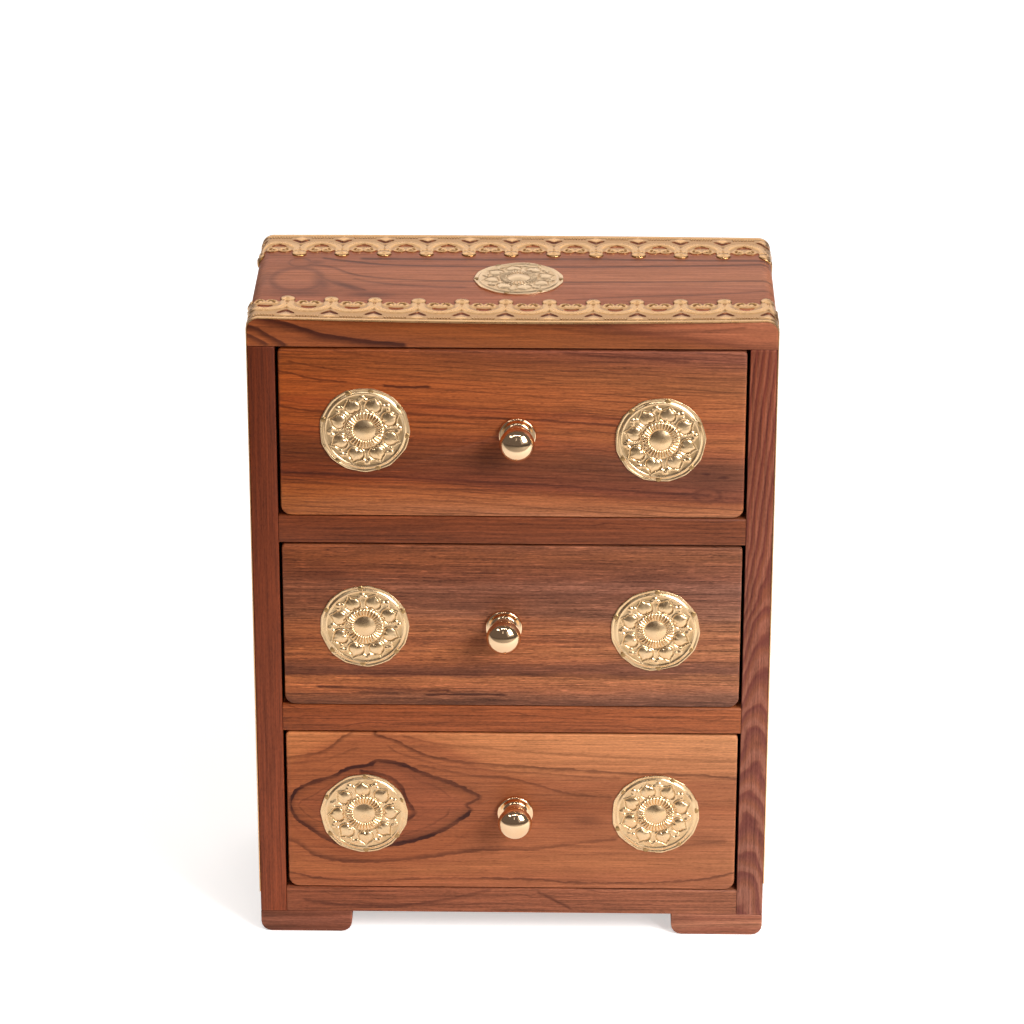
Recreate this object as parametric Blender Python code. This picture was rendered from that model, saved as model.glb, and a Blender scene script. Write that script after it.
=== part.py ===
"""A small three-drawer teak chest with embossed brass medallions, pierced brass edging and ball knobs.

Metres, +Z up. The chest stands on z = 0 and its drawers open towards -Y.
The origin lies under the middle of the box that holds the whole chest, knobs included.
"""

import math

import bmesh
import bpy
from mathutils import Matrix, Vector

# Carcass boards
CARCASS_WIDTH = 0.2000
CARCASS_DEPTH = 0.0920
TOP_THICKNESS = 0.0112
SIDE_THICKNESS = 0.0103
DIVIDER_THICKNESS = 0.0110
BOTTOM_THICKNESS = 0.0109
BACK_THICKNESS = 0.0040
OPENING_HEIGHT = 0.0696
TOP_CORNER_RADIUS = 0.0045
BOARD_EASE = 0.0005
GLUE_LINE = 0.0001

# Housings that hold the divider and bottom ends, stopped short of the front, and the rebate for the back
HOUSING_DEPTH = 0.0030
HOUSING_STOP = 0.0080
BACK_REBATE_WIDTH = 0.0050

# Block feet
FOOT_WIDTH = 0.0363
FOOT_DEPTH = 0.0240
FOOT_HEIGHT = 0.0092
FOOT_CORNER_RADIUS = 0.0042

# Drawer boxes and the play that they run with
DRAWER_SIDE_GAP = 0.0012
DRAWER_TOP_GAP = 0.0010
DRAWER_FLOOR_GAP = 0.0003
DRAWER_REAR_GAP = 0.0015
FRONT_THICKNESS = 0.0100
FRONT_LOWER_RADIUS = 0.0040
FRONT_UPPER_RADIUS = 0.0015
FRONT_EASE = 0.0007
FRONT_LAP_DEPTH = 0.0050
BOX_SIDE_THICKNESS = 0.0060
BOX_SIDE_DROP = 0.0030
BOX_BACK_THICKNESS = 0.0060
BOX_BOTTOM_THICKNESS = 0.0030
BOX_BOTTOM_LIFT = 0.0040
BOX_GROOVE_DEPTH = 0.0030

# Turned ball knobs and the screws that hold them from inside the drawers
BALL_DIAMETER = 0.0134
BALL_LENGTH = 0.0100
BALL_REACH = 0.0100
FLANGE_DIAMETER = 0.0143
FLANGE_THICKNESS = 0.0018
FLANGE_ROUND = 0.0006
NECK_FOOT_DIAMETER = 0.0112
NECK_DIAMETER = 0.0078
SCREW_DIAMETER = 0.0034
SCREW_CLEARANCE = 0.0003
SCREW_HOLD = 0.0080
SCREW_HEAD_DIAMETER = 0.0070
SCREW_HEAD_HEIGHT = 0.0022
SCREW_HEAD_ROUND = 0.0010

# Embossed medallions
MEDALLION_DIAMETER = 0.0346
MEDALLION_RIM_HEIGHT = 0.0005
MEDALLION_FIELD_HEIGHT = 0.0006
MEDALLION_PETAL_HEIGHT = 0.0008
MEDALLION_RING_HEIGHT = 0.0010
MEDALLION_DOME_HEIGHT = 0.0024
MEDALLION_PETALS = 8

# Pierced brass edging that runs up the sides and over the top
EDGING_WIDTH = 0.0240
EDGING_THICKNESS = 0.0006
EDGING_PITCH = 0.01657
EDGING_SHIFT = -0.0027
EDGING_END_MARGIN = 0.0040
EDGING_BAND_WIDTH = 0.0060
CREST_RADIUS = 0.0029
SCROLL_NOTCH_DROP = 0.0060
SCROLL_RISE = 0.0015
CREST_PIERCING_WIDTH = 0.0072
CREST_PIERCING_HEIGHT = 0.0034
SWAG_PIERCING_WIDTH = 0.0068
SWAG_PIERCING_DROP = 0.0101
SWAG_PIERCING_HEIGHT = 0.0024

# How finely round shapes are divided
KNOB_SIDES = 20
BALL_STEPS = 8
NECK_STEPS = 3
SCREW_SIDES = 12
CORNER_STEPS = 4
MEDALLION_STEPS_PER_PETAL = 4
CREST_STEPS = 4
CUT_OVERRUN = 0.0010

# Heights of the carcass, from the floor up
CARCASS_BOTTOM = FOOT_HEIGHT
LOWER_OPENING = CARCASS_BOTTOM + BOTTOM_THICKNESS
OPENING_PITCH = OPENING_HEIGHT + DIVIDER_THICKNESS
MIDDLE_OPENING = LOWER_OPENING + OPENING_PITCH
UPPER_OPENING = MIDDLE_OPENING + OPENING_PITCH
TOP_UNDERSIDE = UPPER_OPENING + OPENING_HEIGHT
CARCASS_TOP = TOP_UNDERSIDE + TOP_THICKNESS

# Front and back planes: the overall depth runs from the balls to the back of the carcass
KNOB_REACH = BALL_REACH + BALL_LENGTH / 2
FRONT_Y = (KNOB_REACH - CARCASS_DEPTH) / 2
BACK_Y = FRONT_Y + CARCASS_DEPTH
SHELF_REAR_Y = BACK_Y - BACK_THICKNESS - GLUE_LINE

# Widths inside the carcass
INNER_X = CARCASS_WIDTH / 2 - SIDE_THICKNESS
SHELF_X = INNER_X - GLUE_LINE
HOUSED_X = INNER_X + HOUSING_DEPTH - GLUE_LINE

# Drawer sizes, measured from the middle of the front's outer face at its lower edge
DRAWER_X = INNER_X - DRAWER_SIDE_GAP
DRAWER_HEIGHT = OPENING_HEIGHT - DRAWER_TOP_GAP - DRAWER_FLOOR_GAP
DRAWER_LENGTH = SHELF_REAR_Y - FRONT_Y - DRAWER_REAR_GAP
BOX_SIDE_HEIGHT = DRAWER_HEIGHT - BOX_SIDE_DROP
BOX_INNER_X = DRAWER_X - BOX_SIDE_THICKNESS
BOX_BACK_Y = DRAWER_LENGTH - BOX_BACK_THICKNESS
GROOVE_LOW = BOX_BOTTOM_LIFT - GLUE_LINE
GROOVE_HIGH = BOX_BOTTOM_LIFT + BOX_BOTTOM_THICKNESS + GLUE_LINE
KNOB_HEIGHT = DRAWER_HEIGHT / 2

# Each drawer's opening and wood colour, and how far its brass was fixed from the true places by hand:
# the knob's offset sideways, then each medallion's distance from its end of the front, its rise and its turn
DRAWERS = {
    "upper": {
        "opening": UPPER_OPENING,
        "colour": (0.32, 0.12, 0.045),
        "knob_offset": 0.0020,
        "medallions": {"left": (0.0325, 0.0016, 26), "right": (0.0321, -0.0017, 31)},
    },
    "middle": {
        "opening": MIDDLE_OPENING,
        "colour": (0.25, 0.10, 0.050),
        "knob_offset": -0.0030,
        "medallions": {"left": (0.0315, 0.0000, 26), "right": (0.0329, -0.0009, 24)},
    },
    "lower": {
        "opening": LOWER_OPENING,
        "colour": (0.36, 0.15, 0.060),
        "knob_offset": 0.0015,
        "medallions": {"left": (0.0303, -0.0010, 3), "right": (0.0317, -0.0003, 18)},
    },
}
TOP_MEDALLION_OFFSET = (0.0018, -0.0022)


def clear_scene():
    for obj in list(bpy.data.objects):
        bpy.data.objects.remove(obj)


def finish(name, colour, roughness, metallic=0.0):
    """A plain material with this linear colour."""
    material = bpy.data.materials.new(name)
    material.use_nodes = True
    shader = material.node_tree.nodes["Principled BSDF"]
    shader.inputs["Base Color"].default_value = (*colour, 1.0)
    shader.inputs["Roughness"].default_value = roughness
    shader.inputs["Metallic"].default_value = metallic
    return material


def add_piece(name, bm, material, parent=None):
    """Makes a closed shape, with its faces turned outwards, into a named object of the chest."""
    bmesh.ops.recalc_face_normals(bm, faces=bm.faces)
    if bm.calc_volume(signed=True) < 0:
        bmesh.ops.reverse_faces(bm, faces=bm.faces)
    mesh = bpy.data.meshes.new(name)
    bm.to_mesh(mesh)
    bm.free()
    piece = bpy.data.objects.new(name, mesh)
    if material:
        mesh.materials.append(material)
    piece.parent = parent
    bpy.context.scene.collection.objects.link(piece)
    return piece


def cut(piece, name, bm):
    """Takes a shape out of a piece with a Boolean."""
    cutter = add_piece(f"{piece.name}_{name}", bm, None, piece.parent)
    cutter.hide_render = True
    cutter.display_type = "WIRE"
    modifier = piece.modifiers.new(name, "BOOLEAN")
    modifier.operation = "DIFFERENCE"
    modifier.solver = "EXACT"
    modifier.object = cutter


def prism(outline, axis, start, end):
    """A closed outline, given in the plane square to the axis, drawn out along that axis."""
    bm = bmesh.new()
    along = "XYZ".index(axis)
    corners = []
    for point in outline:
        place = list(point)
        place.insert(along, start)
        corners.append(bm.verts.new(place))
    face = bm.faces.new(corners)
    drawn = bmesh.ops.extrude_face_region(bm, geom=[face])
    step = Vector((0, 0, 0))
    step[along] = end - start
    bmesh.ops.translate(bm, vec=step, verts=[v for v in drawn["geom"] if isinstance(v, bmesh.types.BMVert)])
    return bm


def block(low, high):
    """A square-edged block between two corners."""
    outline = [(low[0], low[1]), (high[0], low[1]), (high[0], high[1]), (low[0], high[1])]
    return prism(outline, "Z", low[2], high[2])


def rounded_outline(low, high, lower_radius, upper_radius):
    """A rectangle whose two lower and two upper corners are rounded, anticlockwise from the lower left."""
    corners = (
        (low[0], low[1], 1, 1, lower_radius, 180),
        (high[0], low[1], -1, 1, lower_radius, 270),
        (high[0], high[1], -1, -1, upper_radius, 0),
        (low[0], high[1], 1, -1, upper_radius, 90),
    )
    outline = []
    for x, z, inward_x, inward_z, radius, first in corners:
        if not radius:
            outline.append((x, z))
            continue
        for step in range(CORNER_STEPS + 1):
            angle = math.radians(first + 90 * step / CORNER_STEPS)
            centre = (x + inward_x * radius, z + inward_z * radius)
            outline.append((centre[0] + radius * math.cos(angle), centre[1] + radius * math.sin(angle)))
    return outline


def ease(bm, width, chosen, segments=1):
    """Takes the sharpness off the edges whose two ends are both chosen."""
    edges = [edge for edge in bm.edges if all(chosen(vertex.co) for vertex in edge.verts)]
    bmesh.ops.bevel(bm, geom=edges, offset=width, segments=segments, profile=0.5, affect="EDGES")


def near(value, target):
    return abs(value - target) < 1e-6


def turned(profile, sides):
    """A profile of (radius, y) points, both ends on the axis, turned round the Y axis."""
    bm = bmesh.new()
    points = [bm.verts.new((radius, y, 0)) for radius, y in profile]
    edges = [bm.edges.new(pair) for pair in zip(points, points[1:])]
    bmesh.ops.spin(
        bm,
        geom=points + edges,
        cent=(0, 0, 0),
        axis=(0, 1, 0),
        angle=2 * math.pi,
        steps=sides,
        use_merge=True,
    )
    bmesh.ops.remove_doubles(bm, verts=bm.verts, dist=1e-6)
    return bm


def place_on(bm, place, turn=Matrix.Identity(4)):
    bm.transform(Matrix.Translation(place) @ turn)
    return bm


def make_top_board(material):
    """One board over the full width, its two upper ends rounded for the edging to fold over."""
    half = CARCASS_WIDTH / 2
    outline = rounded_outline((-half, TOP_UNDERSIDE), (half, CARCASS_TOP), 0, TOP_CORNER_RADIUS)
    bm = prism(outline, "Y", FRONT_Y, BACK_Y)
    ease(bm, BOARD_EASE, lambda co: near(co.y, FRONT_Y) and near(co.z, CARCASS_TOP))
    add_piece("top_board", bm, material)


def make_sides(material):
    """Two uprights under the top, housed for the dividers and bottom and rebated for the back."""
    for name, sign in (("left_side", -1), ("right_side", 1)):
        outer = sign * CARCASS_WIDTH / 2
        inner = sign * INNER_X
        low, high = sorted((outer, inner))
        bm = block((low, FRONT_Y, CARCASS_BOTTOM), (high, BACK_Y, TOP_UNDERSIDE - GLUE_LINE))
        ease(bm, BOARD_EASE, lambda co, x=outer: near(co.y, FRONT_Y) and near(co.x, x))
        side = add_piece(name, bm, material)
        reach = sorted((sign * (INNER_X - CUT_OVERRUN), sign * (INNER_X + HOUSING_DEPTH)))
        housings = {
            "bottom_housing": (CARCASS_BOTTOM - CUT_OVERRUN, LOWER_OPENING + GLUE_LINE),
            "lower_housing": (MIDDLE_OPENING - DIVIDER_THICKNESS - GLUE_LINE, MIDDLE_OPENING + GLUE_LINE),
            "upper_housing": (UPPER_OPENING - DIVIDER_THICKNESS - GLUE_LINE, UPPER_OPENING + GLUE_LINE),
        }
        for housing, (bottom, top) in housings.items():
            cut(side, housing, block(
                (reach[0], FRONT_Y + HOUSING_STOP, bottom),
                (reach[1], BACK_Y + CUT_OVERRUN, top),
            ))
        rebate = sorted((sign * (INNER_X - CUT_OVERRUN), sign * (INNER_X + BACK_REBATE_WIDTH)))
        cut(side, "back_rebate", block(
            (rebate[0], SHELF_REAR_Y, CARCASS_BOTTOM - CUT_OVERRUN),
            (rebate[1], BACK_Y + CUT_OVERRUN, TOP_UNDERSIDE + CUT_OVERRUN),
        ))


def make_shelf(name, low, high, material):
    """A board between the sides, with its ends behind the front let into their housings."""
    shoulder_y = FRONT_Y + HOUSING_STOP + GLUE_LINE
    outline = [
        (-SHELF_X, FRONT_Y),
        (SHELF_X, FRONT_Y),
        (SHELF_X, shoulder_y),
        (HOUSED_X, shoulder_y),
        (HOUSED_X, SHELF_REAR_Y - GLUE_LINE),
        (-HOUSED_X, SHELF_REAR_Y - GLUE_LINE),
        (-HOUSED_X, shoulder_y),
        (-SHELF_X, shoulder_y),
    ]
    bm = prism(outline, "Z", low, high)
    ease(bm, BOARD_EASE, lambda co: near(co.y, FRONT_Y) and near(co.z, high))
    add_piece(name, bm, material)


def make_back_panel(material):
    half = INNER_X + BACK_REBATE_WIDTH - GLUE_LINE
    low = (-half, SHELF_REAR_Y + GLUE_LINE, CARCASS_BOTTOM)
    add_piece("back_panel", block(low, (half, BACK_Y, TOP_UNDERSIDE - GLUE_LINE)), material)


def make_feet(material):
    """A block under each corner, flush with the sides and rounded at its lower ends."""
    for end, start_y in (("front", FRONT_Y), ("rear", BACK_Y - FOOT_DEPTH)):
        for side, sign in (("left", -1), ("right", 1)):
            outer = sign * CARCASS_WIDTH / 2
            low, high = sorted((outer, outer - sign * FOOT_WIDTH))
            outline = rounded_outline((low, 0), (high, FOOT_HEIGHT - GLUE_LINE), FOOT_CORNER_RADIUS, 0)
            add_piece(f"{end}_{side}_foot", prism(outline, "Y", start_y, start_y + FOOT_DEPTH), material)


def medallion_section(angle):
    """The relief along one radius, as (share of the radius, height): dome, collar, petal or bud, ring, rim."""
    petal = 0.5 + 0.5 * math.cos(MEDALLION_PETALS * angle)
    field = MEDALLION_FIELD_HEIGHT
    return (
        (0.14, 0.84 * MEDALLION_DOME_HEIGHT),
        (0.245, 0.40 * MEDALLION_DOME_HEIGHT),
        (0.30, 0.50 * MEDALLION_DOME_HEIGHT),
        (0.42, field),
        (0.58, field + MEDALLION_PETAL_HEIGHT * petal),
        (0.77, field + 0.5 * MEDALLION_PETAL_HEIGHT * (1 - petal)),
        (0.87, MEDALLION_RING_HEIGHT),
        (0.91, MEDALLION_RIM_HEIGHT),
        (1.00, MEDALLION_RIM_HEIGHT),
        (1.00, 0.0),
    )


def medallion():
    """A round of pressed brass on z = 0, with petals round a dome, inside a raised ring and a flat rim."""
    bm = bmesh.new()
    radius = MEDALLION_DIAMETER / 2
    steps = MEDALLION_PETALS * MEDALLION_STEPS_PER_PETAL
    spokes = []
    for step in range(steps):
        angle = 2 * math.pi * step / steps
        section = medallion_section(angle)
        across = (radius * math.cos(angle), radius * math.sin(angle))
        spokes.append([bm.verts.new((reach * across[0], reach * across[1], rise)) for reach, rise in section])
    top = bm.verts.new((0, 0, MEDALLION_DOME_HEIGHT))
    for step, spoke in enumerate(spokes):
        after = spokes[(step + 1) % steps]
        bm.faces.new((top, spoke[0], after[0]))
        falling = step % MEDALLION_STEPS_PER_PETAL < MEDALLION_STEPS_PER_PETAL / 2
        for inner in range(len(spoke) - 1):
            outer = inner + 1
            if falling:
                bm.faces.new((spoke[inner], spoke[outer], after[outer]))
                bm.faces.new((spoke[inner], after[outer], after[inner]))
            else:
                bm.faces.new((spoke[inner], spoke[outer], after[inner]))
                bm.faces.new((spoke[outer], after[outer], after[inner]))
    bm.faces.new([spoke[-1] for spoke in spokes])
    return bm


def make_top_medallion(material):
    x, y = TOP_MEDALLION_OFFSET
    middle_y = (FRONT_Y + BACK_Y) / 2
    piece = add_piece("top_medallion", medallion(), material)
    piece.location = (x, middle_y + y, CARCASS_TOP + GLUE_LINE)


def edging_run():
    """Half the length of the edging: half the flat of the top, one rounded end and one side."""
    flat = CARCASS_WIDTH / 2 - TOP_CORNER_RADIUS
    corner = TOP_CORNER_RADIUS * math.pi / 2
    side = CARCASS_TOP - TOP_CORNER_RADIUS - CARCASS_BOTTOM - EDGING_END_MARGIN
    return flat, corner, side


def wrapped(along, across, rise, near_edge_y, inward):
    """Where a point of the flat edging lies once it is bent over the top and down the sides."""
    flat, corner, _ = edging_run()
    sign = -1 if along < 0 else 1
    beyond = abs(along) - flat
    rise += GLUE_LINE
    y = near_edge_y + inward * across
    if beyond <= 0:
        return Vector((along, y, CARCASS_TOP + rise))
    centre_z = CARCASS_TOP - TOP_CORNER_RADIUS
    if beyond < corner:
        angle = beyond / TOP_CORNER_RADIUS
        reach = TOP_CORNER_RADIUS + rise
        return Vector((sign * (flat + reach * math.sin(angle)), y, centre_z + reach * math.cos(angle)))
    return Vector((sign * (CARCASS_WIDTH / 2 + rise), y, centre_z - (beyond - corner)))


def edging_loops():
    """The flat outline of the edging, then its piercings, as (along, across) points.

    As many whole repeats as the run has room for; each has a round crest in its middle and half of a pair of
    scrolls at each end.
    """
    half_length = sum(edging_run())
    pitch = EDGING_PITCH
    repeats = int(2 * half_length / pitch)
    crest_base = EDGING_WIDTH - CREST_RADIUS
    notch = EDGING_WIDTH - SCROLL_NOTCH_DROP
    scroll_middle = (CREST_RADIUS + pitch / 2) / 2
    swag_top = EDGING_WIDTH - SWAG_PIERCING_DROP
    crests = [EDGING_SHIFT + (index - (repeats - 1) / 2) * pitch for index in range(repeats)]
    first, last = crests[0] - pitch / 2, crests[-1] + pitch / 2
    plain_edge = [(first, 0.0)] + [(crest, 0.0) for crest in crests] + [(last, 0.0)]
    carved_edge = [(first, notch)]
    piercings = []
    for index, crest in enumerate(crests):
        carved_edge.append((crest - scroll_middle, notch + SCROLL_RISE))
        carved_edge.append((crest - CREST_RADIUS, notch))
        for step in range(CREST_STEPS + 1):
            angle = math.pi * (1 - step / CREST_STEPS)
            carved_edge.append((
                crest + CREST_RADIUS * math.cos(angle), crest_base + CREST_RADIUS * math.sin(angle),
            ))
        carved_edge.append((crest + CREST_RADIUS, notch))
        carved_edge.append((crest + scroll_middle, notch + SCROLL_RISE))
        carved_edge.append((crest + pitch / 2, notch))
        piercings.append([
            (crest - CREST_PIERCING_WIDTH / 2, EDGING_BAND_WIDTH),
            (crest + CREST_PIERCING_WIDTH / 2, EDGING_BAND_WIDTH),
            (crest, EDGING_BAND_WIDTH + CREST_PIERCING_HEIGHT),
        ])
        if index + 1 < repeats:
            middle = crest + pitch / 2
            piercings.append([
                (middle - SWAG_PIERCING_WIDTH / 2, swag_top),
                (middle, swag_top - SWAG_PIERCING_HEIGHT),
                (middle + SWAG_PIERCING_WIDTH / 2, swag_top),
                (middle, swag_top - SWAG_PIERCING_HEIGHT / 4),
            ])
    return [plain_edge + carved_edge[::-1]] + piercings


def make_edging(name, near_edge_y, inward, material):
    """One length of pierced brass, bent over both rounded ends of the top and pinned down the sides."""
    bm = bmesh.new()
    edges = []
    for loop in edging_loops():
        corners = [bm.verts.new((along, across, 0)) for along, across in loop]
        edges += [bm.edges.new(pair) for pair in zip(corners, corners[1:] + corners[:1])]
    bmesh.ops.triangle_fill(bm, use_beauty=True, edges=edges)
    drawn = bmesh.ops.extrude_face_region(bm, geom=bm.faces)
    raised = [item for item in drawn["geom"] if isinstance(item, bmesh.types.BMVert)]
    bmesh.ops.translate(bm, vec=(0, 0, EDGING_THICKNESS), verts=raised)
    flat, corner, _ = edging_run()
    for sign in (-1, 1):
        for step in range(CORNER_STEPS + 1):
            fold = sign * (flat + corner * step / CORNER_STEPS)
            bmesh.ops.bisect_plane(
                bm,
                geom=bm.verts[:] + bm.edges[:] + bm.faces[:],
                dist=1e-6,
                plane_co=(fold, 0, 0),
                plane_no=(1, 0, 0),
            )
    bmesh.ops.triangulate(bm, faces=bm.faces)
    for vertex in bm.verts:
        vertex.co = wrapped(*vertex.co, near_edge_y, inward)
    add_piece(name, bm, material)


def make_drawer_front(level, parent, material):
    """A thick board with softened corners, lapped over the box sides and grooved for the bottom."""
    outline = rounded_outline(
        (-DRAWER_X, 0), (DRAWER_X, DRAWER_HEIGHT), FRONT_LOWER_RADIUS, FRONT_UPPER_RADIUS,
    )
    bm = prism(outline, "Y", 0, FRONT_THICKNESS)
    ease(bm, FRONT_EASE, lambda co: near(co.y, 0), segments=2)
    front = add_piece(f"{level}_drawer_front", bm, material, parent)
    lap_y = FRONT_THICKNESS - FRONT_LAP_DEPTH
    rear_y = FRONT_THICKNESS + CUT_OVERRUN
    for side, sign in (("left", -1), ("right", 1)):
        low, high = sorted((sign * (BOX_INNER_X - GLUE_LINE), sign * (DRAWER_X + CUT_OVERRUN)))
        cut(front, f"{side}_lap", block(
            (low, lap_y, -CUT_OVERRUN), (high, rear_y, DRAWER_HEIGHT + CUT_OVERRUN),
        ))
    cut(front, "bottom_groove", block(
        (-DRAWER_X - CUT_OVERRUN, FRONT_THICKNESS - BOX_GROOVE_DEPTH, GROOVE_LOW),
        (DRAWER_X + CUT_OVERRUN, rear_y, GROOVE_HIGH),
    ))
    hole = SCREW_DIAMETER / 2 + SCREW_CLEARANCE
    bore = turned([(0, rear_y), (hole, rear_y), (hole, -CUT_OVERRUN), (0, -CUT_OVERRUN)], SCREW_SIDES)
    cut(front, "screw_hole", place_on(bore, (DRAWERS[level]["knob_offset"], 0, KNOB_HEIGHT)))


def make_drawer_box(level, parent, side_material, bottom_material):
    """Two grooved sides, a back between them, and a thin bottom that slides in under the back."""
    start_y = FRONT_THICKNESS - FRONT_LAP_DEPTH + GLUE_LINE
    for side, sign in (("left", -1), ("right", 1)):
        groove_x = BOX_INNER_X + BOX_GROOVE_DEPTH
        outline = [
            (DRAWER_X, 0),
            (DRAWER_X, BOX_SIDE_HEIGHT),
            (BOX_INNER_X, BOX_SIDE_HEIGHT),
            (BOX_INNER_X, GROOVE_HIGH),
            (groove_x, GROOVE_HIGH),
            (groove_x, GROOVE_LOW),
            (BOX_INNER_X, GROOVE_LOW),
            (BOX_INNER_X, 0),
        ]
        bm = prism([(sign * x, z) for x, z in outline], "Y", start_y, DRAWER_LENGTH)
        add_piece(f"{level}_drawer_{side}_side", bm, side_material, parent)
    half = BOX_INNER_X - GLUE_LINE
    back = block((-half, BOX_BACK_Y, GROOVE_HIGH), (half, DRAWER_LENGTH, BOX_SIDE_HEIGHT))
    add_piece(f"{level}_drawer_back", back, side_material, parent)
    reach = BOX_INNER_X + BOX_GROOVE_DEPTH - GLUE_LINE
    bottom = block(
        (-reach, FRONT_THICKNESS - BOX_GROOVE_DEPTH + GLUE_LINE, BOX_BOTTOM_LIFT),
        (reach, DRAWER_LENGTH, BOX_BOTTOM_LIFT + BOX_BOTTOM_THICKNESS),
    )
    add_piece(f"{level}_drawer_bottom", bottom, bottom_material, parent)


def knob_profile():
    """Bore, flange, coved neck and flattened ball, from the bottom of the screw's bore to the front of the ball."""
    bore = SCREW_DIAMETER / 2 + SCREW_CLEARANCE
    flange = FLANGE_DIAMETER / 2
    ball = BALL_DIAMETER / 2
    neck = NECK_DIAMETER / 2
    cove = NECK_FOOT_DIAMETER / 2 - neck
    meeting = math.asin(neck / ball)
    neck_length = BALL_REACH - BALL_LENGTH / 2 * math.cos(meeting) - FLANGE_THICKNESS
    profile = [
        (0, -SCREW_HOLD - SCREW_CLEARANCE),
        (bore, -SCREW_HOLD - SCREW_CLEARANCE),
        (bore, -GLUE_LINE),
        (flange, -GLUE_LINE),
        (flange, FLANGE_ROUND - FLANGE_THICKNESS),
        (flange - FLANGE_ROUND, -FLANGE_THICKNESS),
    ]
    for step in range(NECK_STEPS):
        angle = math.pi / 2 * step / NECK_STEPS
        out = neck + cove * (1 - math.sin(angle))
        profile.append((out, -FLANGE_THICKNESS - neck_length * (1 - math.cos(angle))))
    for step in range(BALL_STEPS + 1):
        angle = meeting + (math.pi - meeting) * step / BALL_STEPS
        profile.append((ball * math.sin(angle), BALL_LENGTH / 2 * math.cos(angle) - BALL_REACH))
    profile[-1] = (0, -KNOB_REACH)
    return profile


def make_knob(level, parent, brass, steel):
    """A flattened ball knob turned in one piece, held by a screw whose head bears on the inside of the drawer front."""
    place = (DRAWERS[level]["knob_offset"], 0, KNOB_HEIGHT)
    knob = add_piece(f"{level}_knob", turned(knob_profile(), KNOB_SIDES), brass, parent)
    knob.location = place
    shank = SCREW_DIAMETER / 2
    head = SCREW_HEAD_DIAMETER / 2
    seat_y = FRONT_THICKNESS + GLUE_LINE
    profile = [
        (0, seat_y + SCREW_HEAD_HEIGHT),
        (head - SCREW_HEAD_ROUND, seat_y + SCREW_HEAD_HEIGHT),
        (head, seat_y + SCREW_HEAD_HEIGHT - SCREW_HEAD_ROUND),
        (head, seat_y),
        (shank, seat_y),
        (shank, -SCREW_HOLD),
        (0, -SCREW_HOLD),
    ]
    screw = add_piece(f"{level}_knob_screw", turned(profile, SCREW_SIDES), steel, parent)
    screw.location = place


def make_drawer_medallions(level, parent, brass):
    facing_out = Matrix.Rotation(math.radians(90), 4, "X")
    for side, (inset, rise, turn) in DRAWERS[level]["medallions"].items():
        x = (DRAWER_X - inset) * (-1 if side == "left" else 1)
        spin = Matrix.Rotation(math.radians(turn), 4, "Z")
        bm = place_on(medallion(), (0, -GLUE_LINE, 0), facing_out @ spin)
        piece = add_piece(f"{level}_{side}_medallion", bm, brass, parent)
        piece.location = (x, 0, KNOB_HEIGHT + rise)


def make_drawers(box_wood, bottom_wood, brass, embossed, steel):
    """Each drawer hangs on an empty at the middle of its front's lower edge, on the line that it slides along."""
    for level, drawer in DRAWERS.items():
        slide = bpy.data.objects.new(f"{level}_drawer_slide", None)
        slide.location = (0, FRONT_Y, drawer["opening"] + DRAWER_FLOOR_GAP)
        bpy.context.scene.collection.objects.link(slide)
        front_wood = finish(f"teak_{level}_front", drawer["colour"], 0.45)
        make_drawer_front(level, slide, front_wood)
        make_drawer_box(level, slide, box_wood, bottom_wood)
        make_knob(level, slide, brass, steel)
        make_drawer_medallions(level, slide, embossed)


def make_chest():
    clear_scene()
    top_wood = finish("teak_top", (0.30, 0.12, 0.060), 0.40)
    side_wood = finish("teak_side", (0.16, 0.050, 0.025), 0.45)
    shelf_wood = finish("teak_shelf", (0.22, 0.075, 0.035), 0.45)
    box_wood = finish("drawer_box_wood", (0.38, 0.22, 0.11), 0.60)
    thin_board = finish("thin_board", (0.33, 0.20, 0.11), 0.70)
    brass = finish("polished_brass", (0.80, 0.58, 0.30), 0.15, 1.0)
    embossed = finish("embossed_brass", (0.75, 0.55, 0.30), 0.30, 1.0)
    steel = finish("plated_steel", (0.55, 0.55, 0.53), 0.35, 1.0)
    make_top_board(top_wood)
    make_sides(side_wood)
    make_shelf("bottom_board", CARCASS_BOTTOM, LOWER_OPENING, shelf_wood)
    make_shelf("lower_divider", MIDDLE_OPENING - DIVIDER_THICKNESS, MIDDLE_OPENING, shelf_wood)
    make_shelf("upper_divider", UPPER_OPENING - DIVIDER_THICKNESS, UPPER_OPENING, shelf_wood)
    make_back_panel(thin_board)
    make_feet(shelf_wood)
    make_edging("front_edging", FRONT_Y, 1, embossed)
    make_edging("rear_edging", BACK_Y, -1, embossed)
    make_top_medallion(embossed)
    make_drawers(box_wood, thin_board, brass, embossed, steel)


make_chest()
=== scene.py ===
import math

import bmesh
import bpy
import numpy as np
from mathutils import Matrix, Vector


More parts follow.
